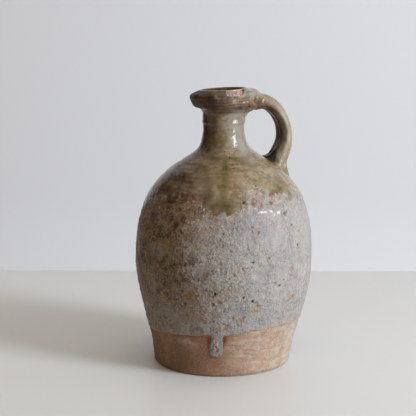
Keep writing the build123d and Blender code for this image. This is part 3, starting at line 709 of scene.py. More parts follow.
def make_lower_coat():
    cols = 576
    s = np.concatenate([np.arange(s_at(15.0), s_at(158.0), 1.0), np.linspace(s_at(159.5), s_at(177.0), 9)])
    r_o, z_o, nr, nz, p, th, pb = coat_loop(s, cols, 0.85, np.linspace(s[-1], s[0], 10))
    rr, zz, ss = (np.broadcast_to(a[:, None], th.shape) for a in (r_o, z_o, s))
    line = ring_interp(th, MATTE_EDGE) + 0.7 * fbm(p, 9.0, 2, 93) + 0.35 * gnoise(p / 2.2, 94)
    run, across = run_field(th, zz, rr)
    run = run + 0.35 * gnoise(p / 2.4, 95)
    shore = np.maximum(zz - line, run)
    here = ramp(shore, -0.9, 0.7)
    depth, kinds = spot_fields(th, zz, rr, p)
    crust, gritty, pore = crust_relief(th, zz, p)
    flow = np.stack([p[..., 0], p[..., 1], p[..., 2] * 0.28], -1)
    d = 0.12 + body_relief(ss, th, rr, zz, p) + gritty - 0.38 * pore + 0.12 * fbm(flow, 6.0, 2, 103)
    glass_bead_and_glint, ridge = wet_marks(th, zz, p)
    d = d + ridge
    bead = np.clip(1 - np.abs(across) ** 3, 0, 1) * (run > -0.5)
    tall = np.interp(zz, [18, 22, 29, 36, 41, 50, 62, 85], [0.8, 1.35, 1.15, 0.85, 0.6, 0.34, 0.22, 0.0])
    d = d + bead * tall * (1.0 + 0.35 * fbm(p, 3.4, 2, 107)) + 0.2 * np.exp(-(((shore - 1.4) / 1.1) ** 2)) * (0.7 + 0.6 * gnoise(p / 5.0, 108))
    d = d - depth
    d = np.where(here < 1, d * here + (-0.95) * (1 - here), d)
    far = gloss_presence(th, zz, p)
    under = ramp(far, 1.0, 5.0)
    d = d * (1 - under) - 0.5 * under
    grid = np.concatenate([place(rr + nr[:, None] * d, zz + nz[:, None] * d, th), pb])
    quads, uvs = torus(len(grid), cols, v_from(np.concatenate([np.ones(len(s)), np.full(len(pb), 0.25)])))
    stain = np.exp(-np.maximum(-far, 0) / 6.0) * ramp(fbm(p, 6.0, 4, 105, 0.65), -0.2, 0.45)
    band = np.exp(-(((zz - 156) / 6.0) ** 2)) * ramp(angle_gap(th, -103), -4, 4) * (1 - ramp(angle_gap(th, -62), -4, 6))
    stain = np.clip(np.maximum(stain, band * ramp(fbm(p, 4.5, 4, 130, 0.65), 0.0, 0.5)), 0, 1)
    pad = np.zeros(pb.shape[:2])
    attrs = {k: np.concatenate([v * (zz > 18), pad]) for k, v in kinds.items()}
    warm, soot = fire_side(th, zz, p)
    attrs["stain"] = np.concatenate([stain, pad])
    attrs["warm"] = np.concatenate([warm, pad])
    attrs["soot"] = np.concatenate([soot, pad])
    # the beads' mask lowers the roughness and also paints a white highlight into the colour
    attrs["glass_bead_and_glint"] = np.concatenate([glass_bead_and_glint, pad])
    ash = blobs(th, zz, ((-135, 134, 6, 9, 0.9), (-134, 120, 7, 9, 1.0), (-128, 112, 7, 5, 0.8), (-119, 107, 6, 4, 0.6), (-136, 99, 4.5, 4.5, 0.9), (-120, 130, 2.5, 9, 0.7), (-163, 140, 4, 4, 0.4), (-160, 112, 6, 5, 0.4), (-100, 86, 9, 7, 0.35), (-76, 108, 9, 14, 0.4), (-66, 74, 15, 15, 0.9), (-52, 90, 12, 20, 0.75), (-46, 72, 14, 16, 0.8), (-165, 80, 9, 13, 0.35), (-160, 62, 10, 8, 0.3)))
    attrs["ash"] = np.concatenate([np.clip(ash * (0.9 + 1.0 * fbm(p, 5.5, 4, 145, 0.62)), 0, 1), pad])
    attrs["lilac"] = np.concatenate([np.clip(blobs(th, zz, ((-105, 136, 9, 11, 0.9), (-96, 131, 8, 8, 0.6), (-112, 122, 6, 6, 0.5), (-93, 162, 6, 6, 0.6), (-130, 92, 9, 8, 0.6), (-110, 62, 10, 9, 0.5), (-118, 140, 10, 10, 0.5), (-122, 127, 9, 9, 0.4))) * (0.8 + 0.8 * fbm(p, 9.0, 3, 141)), 0, 1), pad])
    fine_edge = 1.5 + 4.5 * ramp(angle_gap(th, -84), -8, 14) * (1 - ramp(angle_gap(th, -20), -20, 20))
    attrs["thin"] = np.concatenate([np.clip(np.exp(-np.maximum(zz - line, 0) / fine_edge) * (1 + 0.9 * fbm(p, 4.0, 3, 146)), 0, 1) * (run < 0.6), pad])
    attrs["run"] = np.concatenate([ramp(run, -0.5, 1.5) * (1 - ramp(zz, 40, 85)), pad])
    attrs["shade"] = np.concatenate([np.exp(-((run - 0.4) / 0.6) ** 2) * (1 - ramp(zz, 38, 46)), pad])
    attrs["pore"] = np.concatenate([pore, pad])
    attrs["crust"] = np.concatenate([np.clip(0.5 + 0.5 * crust, 0, 1), pad])
    return build("lower_glaze", settle(grid).reshape(-1, 3), quads, uvs, "lower_glaze_coat", attrs)


def gloss_attrs(theta, z, p):
    """What the glossy coat shows: pooled olive, green runs, scorched brown."""
    flow = np.stack([p[..., 0], p[..., 1], p[..., 2] * 0.22], -1)
    pool = 0.55 * fbm(flow, 10.0, 3, 111) + 0.5 * fbm(p, 16.0, 3, 112)
    trail = np.interp(z, [150, 160, 168, 179, 189, 196], [-115.8, -115.4, -115.1, -114.4, -112.4, -111.4]) + 1.3 * gnoise(p / 9.0, 115)
    drip = np.exp(-((angle_gap(theta, trail) / np.interp(z, [150, 170, 190, 196], [3.4, 3.4, 4.6, 5.0])) ** 2)) * ramp(z, 149, 158) * (1 - ramp(z, 186, 197))
    drip = np.maximum(drip, blobs(theta, z, (
        (-122, 154, 5.5, 5.0, 0.95), (-112, 153, 7.0, 4.5, 0.95), (-104, 156, 4, 3, 0.6), (-148.5, 177, 4.5, 3.0, 1.0), (-142, 175.5, 5.0, 4.0, 0.9), (-118, 150.5, 8, 4.5, 0.9), (-145, 180, 4.5, 2.6, 1.0), (-140.5, 182.5, 4, 2.5, 0.7),
        (-62.4, 165, 5, 3.6, 0.9), (-55, 160.4, 4.5, 3.6, 0.8), (-66, 170, 4, 3.5, 0.7), (-58, 170, 4, 3.5, 0.5), (-84, 171, 5, 3, 0.3), (-97, 189.8, 9, 2.0, 0.85), (-96, 181, 8, 1.3, 0.45), (-75, 185, 12, 1.3, 0.5),
        (-92, 187, 8, 1.3, 0.45), (-104, 176, 4, 5, 0.35), (-129, 172, 5, 6, 0.4), (30, 155, 5, 8, 0.75), (80, 150, 5, 9, 0.75), (120, 158, 6, 7, 0.7), (150, 165, 7, 8, 0.7), (60, 175, 12, 3, 0.6),
    )))  # fmt: skip
    burnt = blobs(theta, z, GLOSS_BURN) * (1.0 + 0.7 * fbm(p, 11.0, 4, 114, 0.6))
    return np.clip(0.5 + pool, 0, 1), np.clip(drip * (0.92 + 0.6 * gnoise(p / 4.0, 113)), 0, 1), np.clip(burnt, 0, 1)


def make_upper_coat():
    cols = 384
    s = np.concatenate([np.arange(s_at(134.0), s_at(196.0), 1.0), np.arange(s_at(196.0), s_at(234.0), 0.9), np.arange(s_at(234.0), S_CREST + 2, 0.48), np.arange(S_CREST + 2, S_END - 5, 0.9)])
    s_b = np.concatenate([np.linspace(s[-1], S_CREST + 2.2, 3), np.arange(S_CREST + 1.4, s_at(234.2), -0.8), np.arange(s_at(233.5), s_at(192.0), -2.6), np.linspace(s_at(190.0), s[0], 9)])
    r_o, z_o, nr, nz, p, th, pb = coat_loop(s, cols, 0.7, s_b)
    rr, zz, ss = (np.broadcast_to(a[:, None], th.shape) for a in (r_o, z_o, s))
    far = gloss_presence(th, zz, p)
    far = np.where(ss > s_at(185.0), 20.0, far)
    crisp = np.exp(-((angle_gap(th, -116) / 13.0) ** 2))
    here = ramp(far, -1.4, 2.6 - 1.6 * crisp)
    grey, pink, low = chip_field(th, zz, ss, p)
    gone = np.maximum(np.maximum(grey, pink), low)
    relief = body_relief(ss, th, rr, zz, p)
    wiped = ramp(-np.abs(angle_gap(th, 0)) + 4 * gnoise(p / 5.0, 143), -80, -46) * ramp(zz, 231, 236) * (1 - ramp(zz, 245.5, 248.6)) * (ss < S_CREST)
    relief = relief * (1 - 0.9 * wiped)
    # towards its edge, soft on most sides, the coat turns as dry and crusty as the one below it
    soft = ring_interp(th, SOFT)
    fade = 1 - ramp(far + soft * (0.62 * fbm(p, 6.5, 4, 128, 0.62) - 0.05), 0.1 * soft, 0.8 * soft)
    fade = np.where(ss > s_at(183.0), 0.0, fade)
    crust, gritty, pore = crust_relief(th, zz, p)
    d = 0.22 + relief + 0.07 * fbm(p, 5.0, 2, 121) + 0.05 * gnoise(p / 1.8, 122)
    d = d + fade * (gritty - 0.3 * pore) + 0.35 * np.exp(-np.maximum(far, 0) / 9.0) * (1 - fade) * gritty * (1 - ramp(zz, 182, 186))
    pool, drip, burnt = gloss_attrs(th, zz, p)
    d = d + 0.22 * drip + (0.2 * crisp - 0.1) * np.exp(-(((far - 1.6) / 1.5) ** 2)) * (ss < s_at(180.0))
    for h, t, k in ((184.7, 0.7, 0.22), (179.9, 0.6, 0.2), (174.0, 0.8, 0.12)):
        d = d - k * np.exp(-(((zz + 0.6 * gnoise(p / 20.0, 126) - h) / t) ** 2)) * (ss < S_CREST)
    dist, rnd = cells(p, 9.0, 8)
    pinhole = np.exp(-((dist / (0.3 + 0.35 * rnd[..., 0])) ** 2)) * (rnd[..., 1] > 0.6)
    depth, kinds = spot_fields(th, zz, rr, p)
    d = d - 0.22 * pinhole * (zz < 232) - depth
    d = np.where(here < 1, d * here + (-0.75) * (1 - here), d)
    d = d + 0.8 * wiped + 0.5 * gnoise(p / 1.7, 149) * blobs(th, zz, ((-66, 241, 9, 2.6, 1.0), (-56, 242, 8, 2.4, 0.8))) * (ss < S_CREST)
    ledge = np.exp(-((angle_gap(th, -68) / 10.0) ** 4)) * ramp(zz, 233.5, 237) * (1 - ramp(zz + 0.9 * gnoise(p / 2.6, 152), 239.0, 240.7)) * (ss < S_CREST)
    d = d + 1.25 * ledge
    d = d - gone * 2.3
    ends = ramp(S_END - 5 - ss, 0.0, 1.2)
    d = d * ends - 0.3 * (1 - ends)
    fillet = np.interp(zz, [212, 218, 224, 228, 232, 236, 240, 245], [18.4, 18.7, 20.0, 21.8, 24.0, 26.2, 28.0, 29.4])
    smeared = np.clip(fillet - rr, 0, 4) * (1 - ramp(np.abs(angle_gap(th, 0)) + 5 * gnoise(p / 6.0, 143), 38, 112)) * (ss < s_at(245.0))
    flare = np.clip((39 + 2 * gnoise(p / 6.0, 151) - np.abs(angle_gap(th, 0))) / 17.0, 0, 1) ** 2 * ramp(zz, 229.5, 233.5) * (1 - ramp(zz, 238.5, 244.5)) * (ss < S_CREST)
    arch = np.interp(zz, [216, 221, 225, 228, 231, 234, 240], [18.4, 18.9, 20.4, 23.0, 27.6, 31.0, 32.0])
    arch = np.clip(arch - rr, 0, 9) * (1 - ramp(np.abs(angle_gap(th, 0)) + 4 * gnoise(p / 6.0, 143), 28, 58)) * (1 - ramp(zz, 235, 239)) * (ss < S_CREST)
    smeared = np.maximum(smeared + 6.4 * flare, arch)
    grid = np.concatenate([place(rr + nr[:, None] * d + smeared, zz + nz[:, None] * d, th), pb])
    quads, uvs = torus(len(grid), cols, v_from(np.concatenate([np.ones(len(s)), np.full(len(pb), 0.2)])))
    pad = np.zeros(pb.shape[:2])
    on_shoulder = ss < s_at(182.0)
    edge_iron = np.exp(-(((far - 0.8) / 1.6) ** 2)) * on_shoulder
    # painted highlight: a paler, cooler line along the crest of the lip
    lip = np.exp(-(((ss - (S_CREST - 0.4)) / 0.7) ** 2)) * ramp(fbm(p, 6.0, 2, 140), -0.5, 0.2)
    rust = 0.6 * edge_iron * ramp(fbm(p, 7.0, 2, 123), 0.05, 0.5)
    for at, h, w, t, k in ((-106.4, 239.8, 3.2, 1.5, 0.95), (-90, 241, 1.6, 2.6, 0.8), (-84, 238.2, 6.0, 1.5, 0.9), (-70, 236.6, 8.0, 1.5, 1.0), (-101, 238.5, 2.4, 1.0, 0.5), (-60, 238.6, 9.0, 1.2, 0.9), (-52, 236.2, 9.0, 1.6, 0.9), (-77, 242.6, 5.0, 0.6, 0.8), (-141, 159.5, 5, 1.6, 0.8), (-137, 158.3, 4, 1.6, 0.8), (-168, 214, 9, 12, 0.3)):
        blob = np.exp(-((angle_gap(th, at) / w) ** 2) - ((zz - h) / t) ** 2) * (ss < S_CREST)
        rust = np.maximum(rust, k * blob * (0.75 + 0.5 * gnoise(p / 2.0, 124)))
    milk_noise = fbm(np.stack([p[..., 0], p[..., 1], p[..., 2] * 0.5], -1), 8.0, 3, 125)
    milk = ramp(milk_noise, -0.15, 0.4) * np.exp(-np.maximum(far, 0) / 5.5) * (1 - 0.75 * crisp)
    milk = np.maximum(milk, blobs(th, zz, ((-92.5, 164, 7, 6, 0.85), (-88, 169, 6, 4, 0.5), (-96, 158, 5, 4, 0.5), (-75, 160, 5, 5, 0.4))) * ramp(milk_noise, -0.6, 0.1))
    milk = milk * on_shoulder
    # painted shade: the first three patches darken the crevice at the handle's foot; the last two darken a thin band
    # low on the collar
    kinds["dark"] = np.maximum(kinds["dark"], blobs(th, zz, ((-16.5, 183.8, 7, 4, 0.95), (-25, 184.2, 8, 1.8, 0.9), (0, 184, 12, 4.5, 0.9), (-58, 234.8, 20, 2.4, 0.4), (-80, 235.2, 10, 1.6, 0.25))))
    attrs = {k: np.concatenate([v, pad]) for k, v in kinds.items()}
    attrs["pool"] = np.concatenate([pool, pad])
    attrs["drip"] = np.concatenate([drip, pad])
    burnt = np.maximum(burnt, ramp(ss, S_CREST + 0.3, S_CREST + 1.2))
    attrs["dull"] = np.concatenate([0.9 * ramp(ss, S_CREST + 0.3, S_CREST + 1.5) + 1.2 * (ss < S_CREST) * ramp(zz, 232, 236) * ramp(angle_gap(th, -92), 4, -10), pad])
    attrs["burnt"] = np.concatenate([burnt, pad])
    attrs["lip"] = np.concatenate([lip, pad])
    attrs["rust"] = np.maximum(attrs["rust"], np.concatenate([np.clip(rust, 0, 1), pad]))
    attrs["milk"] = np.concatenate([milk * (1 - fade), pad])
    warm, soot = fire_side(th, zz, p)
    attrs["fade"] = np.concatenate([fade, pad])
    attrs["warm"] = np.concatenate([warm, pad])
    attrs["soot"] = np.concatenate([soot, pad])
    attrs["crust"] = np.concatenate([np.clip(0.5 + 0.5 * crust, 0, 1), pad])
    attrs["pore"] = np.concatenate([pore, pad])
    sweep = ramp(angle_gap(th, -112), -8, 6) * (1 - ramp(angle_gap(th, -52), -8, 10)) * ramp(fbm(np.stack([p[..., 0] / 3, p[..., 1] / 3, p[..., 2]], -1), 6.0, 2, 129), -0.25, 0.25)
    line = np.zeros_like(zz)
    for h, t in ((190.4, 0.35), (186.2, 0.4), (181.2, 0.4), (183.4, 0.25), (176.8, 0.3), (193.2, 0.3)):
        line = np.maximum(line, np.exp(-(((zz + 0.7 * gnoise(p / 22.0, 126) - h) / t) ** 2)))
    attrs["line"] = np.concatenate([line * sweep * (ss < S_CREST), pad])
    attrs["pale"] = np.concatenate([np.clip(blobs(th, zz, ((-101, 242.5, 5, 2.2, 0.6), (-92.5, 240.3, 5, 2.2, 0.9), (-74, 247, 14, 4, 0.9), (-60, 245, 14, 4, 0.55), (-108.5, 243, 4, 2.4, 0.55), (-36, 171, 8, 5, 0.45), (-63, 189, 14, 8, 0.45), (-68, 180, 13, 7, 0.55), (-54, 197, 12, 7, 0.5), (-63, 206, 10, 8, 0.4))) * (0.9 + 0.9 * fbm(p, 9.0, 4, 148, 0.6)), 0, 1), pad])
    # painted reflection: a cool grey sheen on the neck's right side, where the bright room shows in the glaze
    attrs["cool"] = np.concatenate([np.clip(blobs(th, zz, ((-62, 212, 34, 18, 1.0), (-68, 196, 22, 8, 0.8), (-78, 226, 24, 6, 0.6))) * (0.95 + 0.5 * fbm(p, 10.0, 3, 150)), 0, 1), pad])
    attrs["ridge"] = np.concatenate([np.clip(relief * 3.0 - 0.15, 0, 1) * (ss > s_at(229.0)) * (ss < S_CREST), pad])
    attrs["groove"] = np.concatenate([np.clip(0.45 - relief * 3.4, 0, 1) * (ss > s_at(229.0)), pad])
    return build("upper_glaze", settle(grid).reshape(-1, 3), quads, uvs, "upper_glaze_coat", attrs)


# ------------------------------------------------------------------------- the handle
HANDLE = [
    (21.0, 237.5), (25.0, 237.6), (29.5, 237.6), (34.5, 237.5), (40.0, 237.2), (46.0, 234.8), (51.4, 230.6), (55.5, 225.4), (58.5, 219.7),
    (60.4, 213.3), (61.0, 206.6), (60.4, 199.8), (57.7, 193.6), (54.6, 187.7), (51.8, 182.6), (50.2, 177.2), (48.2, 172.6),
]  # fmt: skip
# half-thickness, half-width and size of the join's fillet, against mm along the strap
HALF_T = [(0, 6.6), (4, 7.0), (9, 7.4), (14, 7.3), (20, 6.9), (27, 6.2), (40, 5.1), (58, 5.0), (65, 5.6), (72, 6.7), (80, 7.4), (90, 7.7), (97, 7.8)]
HALF_W = [(0, 13.0), (5, 14.2), (10, 14.4), (20, 12.8), (33, 12.1), (60, 12.0), (82, 12.2), (97, 12.6)]
BLEND = [(0, 5.0), (4, 8.0), (9, 11.0), (14, 11.0), (25, 8.0), (50, 5.0), (68, 8.0), (80, 13.0), (97, 16.0)]


def pot_distance():
    """Signed distance to the pot's outside on a grid of radius and height, 0.5 mm apart."""
    rg, zg = np.arange(0, 110, 0.5), np.arange(150, 270, 0.5)
    c = np.stack(np.meshgrid(rg, zg, indexing="ij"), -1).reshape(-1, 2)
    keep = PRZ[:, 1] > 120
    line, nor = PRZ[keep][::3], PN[keep][::3]
    out = np.empty(len(c))
    for k in range(0, len(c), 4000):
        d = c[k : k + 4000, None, :] - line[None]
        best = np.argmin((d**2).sum(-1), axis=1)
        pick = d[np.arange(len(best)), best]
        out[k : k + 4000] = np.linalg.norm(pick, axis=1) * np.sign((pick * nor[best]).sum(-1))
    return out.reshape(len(rg), len(zg))


def make_handle():
    field = pot_distance()

    def pot(p):
        x = np.clip(np.hypot(p[..., 0], p[..., 1]) / 0.5, 0, field.shape[0] - 1.001)
        y = np.clip((p[..., 2] - 150) / 0.5, 0, field.shape[1] - 1.001)
        i, j = x.astype(int), y.astype(int)
        fx, fy = x - i, y - j
        return (field[i, j] * (1 - fx) + field[i + 1, j] * fx) * (1 - fy) + (field[i, j + 1] * (1 - fx) + field[i + 1, j + 1] * fx) * fy

    us, path = spline(HANDLE, 0.1)
    length = us[-1]
    tang = np.gradient(path, us, axis=0)
    tang /= np.linalg.norm(tang, axis=1)[:, None]
    rows, cols = 230, 132
    u = np.linspace(0, 1, rows)
    um = u * length
    cx, cz = np.interp(um, us, path[:, 0]), np.interp(um, us, path[:, 1])
    tx, tz = np.interp(um, us, tang[:, 0]), np.interp(um, us, tang[:, 1])
    # across the strap, from its outer face: out is square to the path, side is +Y
    ox, oz = -tz, tx
    phi = np.arange(cols) * 2 * math.pi / cols
    ca, sa = np.cos(phi), np.sin(phi)
    half_t, half_w, blend = table(um, HALF_T)[:, None], table(um, HALF_W)[:, None], table(um, BLEND)[:, None]
    side = np.abs(np.degrees(phi) - 180.0)
    blend = blend * (1 - 0.78 * ramp(um, 66, 78)[:, None] * (ramp(side, 30, 50) * (1 - ramp(side, 98, 124)))[None, :])
    dirs = np.stack([ox[:, None] * ca, 0 * ox[:, None] + sa, oz[:, None] * ca], -1)
    start = np.stack([cx, 0 * cx, cz], -1)[:, None, :]
    n = 2.3

    def strap(rho):
        a, b = np.abs(rho * sa / half_w), np.abs(rho * ca / half_t)
        q = (a**n + b**n + 1e-9) ** (1 / n)
        slope = np.sqrt((a ** (n - 1) / half_w) ** 2 + (b ** (n - 1) / half_t) ** 2) * q ** (1 - n)
        return (q - 1) / np.maximum(slope, 0.02)

    def union(rho):
        f1, f2 = strap(rho), pot(start + rho[..., None] * dirs)
        h = np.maximum(blend - np.abs(f1 - f2), 0) / blend
        return np.minimum(f1, f2) - h * h * blend * 0.25

    rho0 = ((np.abs(sa) / half_w) ** n + (np.abs(ca) / half_t) ** n) ** (-1 / n)
    rho = rho0 * 0.98
    for _ in range(60):
        rho = rho + np.maximum(-union(rho), 0) * 0.8
    cap = rho0 + np.interp(um, [0, 30, 60, 97], [8.0, 7.0, 9.0, 13.0])[:, None]
    sunk = ramp(rho - cap, -2.5, 0.0)
    rho = np.minimum(rho, cap)
    p = start + rho[..., None] * dirs
    # the finger grooves of the pull on its faces and edges, and its unevenness
    away = ramp(pot(p), 0.6, 5.0)
    deg = np.degrees(phi)
    psi = np.abs(deg - 180.0)  # 0 in the middle of the inner face, 180 in the middle of the outer one
    groove = -0.50 * np.exp(-(((psi - 158) / 9.0) ** 2)) - 0.45 * np.exp(-(((psi - 97) / 9.0) ** 2)) + 0.40 * np.exp(-(((psi - 76) / 8.0) ** 2))
    groove = groove + 0.35 * np.exp(-(((psi - 120) / 10.0) ** 2)) - 0.45 * np.exp(-((psi / 32.0) ** 2)) - 0.35 * np.exp(-(((psi - 138) / 7.0) ** 2))
    along = np.stack([p[..., 0] * 0.35, p[..., 1], p[..., 2] * 0.35], -1)
    d = away * (groove[None, :] * (0.85 + 0.5 * gnoise(along / 14.0, 131)) + 0.25 * fbm(p, 11.0, 2, 132) + 0.12 * gnoise(along / 2.4, 133))
    knob = np.exp(-(((um[:, None] - 11) / 8.0) ** 2)) * np.exp(-(((deg - 282) / 34.0) ** 2))[None, :]
    d = d + knob * (0.5 * fbm(p, 5.0, 2, 137) + 0.25 * gnoise(p / 1.9, 144))
    d = d + 0.24 * (1 - away) + 0.05 * fbm(p, 4.0, 2, 134) - 1.0 * sunk
    d = d - (1 - away) * (0.9 * (1 - ramp(um, 0.0, 9.0)) + 1.4 * ramp(um, length - 6.0, length))[:, None]
    p = p + d[..., None] * dirs
    p = settle(p)

    # smooth normals over the whole handle, shared by its three pieces
    du = np.gradient(p, axis=0)
    dv = np.roll(p, -1, axis=1) - np.roll(p, 1, axis=1)
    nor = np.cross(dv, du)
    nor /= np.maximum(np.linalg.norm(nor, axis=-1), 1e-9)[..., None]
    flip = np.sign((nor * dirs).sum(-1).mean())
    nor = nor * flip

    ideal = start + rho[..., None] * dirs
    theta = np.degrees(np.arctan2(ideal[..., 1], ideal[..., 0]))
    pool, drip, _ = gloss_attrs(theta, ideal[..., 2], ideal)
    one = np.ones((rows, cols))
    ps, uu, dg = psi[None, :] * one, um[:, None] * one, deg[None, :] * one
    streak = fbm(along, 5.0, 3, 135)
    facing = 0.5 - 0.5 * np.sin(np.radians(dg))
    # the strap's brown glaze; on the inner face, turned from the window, it is darkened further as painted shade
    brown = np.interp(uu, [0, 40, 58, 72, 90], [0.9, 0.85, 0.7, 0.25, 0.3]) * (1 - ramp(ps + 14 * streak, 36, np.interp(uu, [0, 36, 44, 56, 66, 72], [58, 52, 47, 58, 54, 46]))) * (1 - ramp(uu, length - 9, length - 3)) * ramp(uu, 3, 12)
    brown = np.maximum(brown, 0.75 * np.exp(-(((ps - 92 - 10 * streak) / 9) ** 2)) * ramp(uu, 36, 44) * (1 - ramp(uu, 70, 80)) * ramp(streak, -0.3, 0.4))
    oval = np.exp(-((((uu - 23) * 0.8 + (ps - 78) * 0.05) / 6.0) ** 2) - ((ps - 84 + (uu - 23) * 0.6) / 13.0) ** 2)
    rust = np.maximum(0.95 * oval * ramp(fbm(p, 3.5, 2, 136), -0.7, 0.2), 0.9 * np.exp(-(((uu - 12) / 8.0) ** 2)) * np.exp(-(((ps - 48) / 16.0) ** 2)) * ramp(fbm(p, 4.0, 2, 138), -0.6, 0.2))
    rust = np.maximum(rust, 0.2 * np.exp(-(((uu - 34) / 12.0) ** 2)) * np.exp(-(((ps - 66) / 10.0) ** 2))) * (0.4 + 0.6 * facing)
    from_ps = np.interp(uu, [0, 26, 40, 60, 70, 80], [96.0, 66.0, 54.0, 56.0, 50.0, 46.0])
    pale = ramp(ps - from_ps + 9 * streak, 0, 18) * (0.85 + 0.35 * streak) * ramp(uu, 3, 12)
    pale = pale * np.interp(uu, [0, 9, 16, 26, 36, 46, 60, 78, 90], [0.5, 0.4, 0.3, 0.6, 0.95, 1.0, 1.0, 0.65, 0.4]) * (1 - 0.4 * ramp(ps, 86, 106))
    pale = np.maximum(pale, 0.5 * (1 - ramp(uu, 7, 16)) * ramp(ps, 92, 118))
    brown = np.maximum(brown, 0.95 * ramp(uu, 3, 9) * (1 - ramp(uu, 26, 35)) * (1 - ramp(ps, 86, 104)) * (0.9 + 0.5 * streak))
    pale = np.maximum(pale, 0.25 * ramp(uu, length - 16, length - 6) * ramp(ps, 60, 90))
    pale = np.maximum(pale, 0.45 * ramp(uu, 74, 82) * np.exp(-(((ps - 82) / 16.0) ** 2)))
    # painted shade: the inner face at the strap's foot, in the crevice against the shoulder, is drawn near black
    dark = np.exp(-((ps / np.interp(uu, [74, 81, 85, 88, 91, 95], [34.0, 46.0, 58.0, 64.0, 68.0, 72.0])) ** 6)) * ramp(uu, length - 21, length - 15)
    lines = np.maximum(np.exp(-(((ps - 99 - 8 * streak) / 3.5) ** 2)), 0.5 * np.exp(-(((ps - 72 - 8 * streak) / 4.0) ** 2))) * ramp(uu, 26, 34) * (1 - ramp(uu, length - 14, length - 6))
    zero = np.zeros((rows, cols))
    dull = np.clip((0.95 + 0.6 * fbm(p, 5.0, 3, 142)) * ramp(uu, 13, 19), 0, 1.2)
    dull = np.maximum(dull, 1.6 * (1 - ramp(ps, 50, 75))) * ramp(ps, 8, 26)
    dull = dull * (1 - 0.85 * np.exp(-(((uu - 42) / 4.0) ** 2) - ((ps - 100) / 14.0) ** 2) - 0.8 * np.exp(-(((uu - length + 11) / 4.0) ** 2) - ((ps - 78) / 12.0) ** 2))
    # on the handle, burnt carries its brown glaze, partly painted shade on the inner face, and dark is painted shade in
    # the crevice at its foot
    attrs = {
        "dull": dull,
        "pool": 0.45 * pool + 0.22 + 0.3 * (1 - ramp(uu, 28, 40)) + 0.3 * ramp(uu, 70, 80), "drip": 0.3 * drip, "burnt": np.clip(brown, 0, 1), "lip": zero, "rust": np.clip(rust, 0, 1), "milk": zero,
        "pale": np.clip(pale, 0, 1), "dark": np.clip(1.05 * dark, 0, 1), "ochre": zero, "peach": zero, "rim": zero, "groove": zero, "line": lines,
    }  # fmt: skip

    def part(name, node, a, b):
        m = b - a
        verts = np.concatenate([p[a:b].reshape(-1, 3), [p[a].mean(0), p[b - 1].mean(0)]])
        i, j = np.meshgrid(np.arange(m - 1), np.arange(cols), indexing="ij")
        i, j = i.reshape(-1), j.reshape(-1)
        j1 = (j + 1) % cols
        quads = np.stack([i * cols + j, (i + 1) * cols + j, (i + 1) * cols + j1, i * cols + j1], axis=1)
        v = np.linspace(0.03, 0.97, m)
        uvs = np.stack([np.stack([j / cols, v[i]], 1), np.stack([j / cols, v[i + 1]], 1), np.stack([(j + 1) / cols, v[i + 1]], 1), np.stack([(j + 1) / cols, v[i]], 1)], axis=1)
        c0, c1, jj = m * cols, m * cols + 1, np.arange(cols)
        last = (m - 1) * cols
        fan0 = np.stack([np.full(cols, c0), jj, (jj + 1) % cols], axis=1)
        fan1 = np.stack([np.full(cols, c1), last + (jj + 1) % cols, last + jj], axis=1)
        t0 = np.stack([np.stack([(jj + 0.5) / cols, 0 * jj + 0.004], 1), np.stack([jj / cols, 0 * jj + 0.028], 1), np.stack([(jj + 1) / cols, 0 * jj + 0.028], 1)], axis=1)
        t1 = np.stack([np.stack([(jj + 0.5) / cols, 0 * jj + 0.996], 1), np.stack([(jj + 1) / cols, 0 * jj + 0.972], 1), np.stack([jj / cols, 0 * jj + 0.972], 1)], axis=1)
        uv = np.concatenate([uvs.reshape(-1, 2), t0.reshape(-1, 2), t1.reshape(-1, 2)])
        axis0, axis1 = p[a].mean(0) - p[a + 1].mean(0), p[b - 1].mean(0) - p[b - 2].mean(0)
        normals = np.concatenate([nor[a:b].reshape(-1, 3), [axis0 / np.linalg.norm(axis0), axis1 / np.linalg.norm(axis1)]])
        some = {k: np.concatenate([w[a:b].reshape(-1), [0, 0]]) for k, w in attrs.items()}
        build(name, verts, quads, uv, node, some, normals=normals, tris=np.concatenate([fan0, fan1]))
        INNER[name] = np.concatenate([np.tile((psi < 56) & (psi > 14), m - 1), np.zeros(2 * cols, dtype=bool)]).astype(np.int32)

    upper, lower = int(rows * 0.20), int(rows * 0.84)
    part("strap_upper_lute", "upper_handle_lute", 0, upper + 1)
    part("strap", "strap_handle", upper, lower + 1)
    part("strap_lower_lute", "lower_handle_lute", lower, rows)


make_base_disc()
make_body_wall()
make_neck()
make_rim_collar()
make_lower_coat()
make_upper_coat()
make_handle()


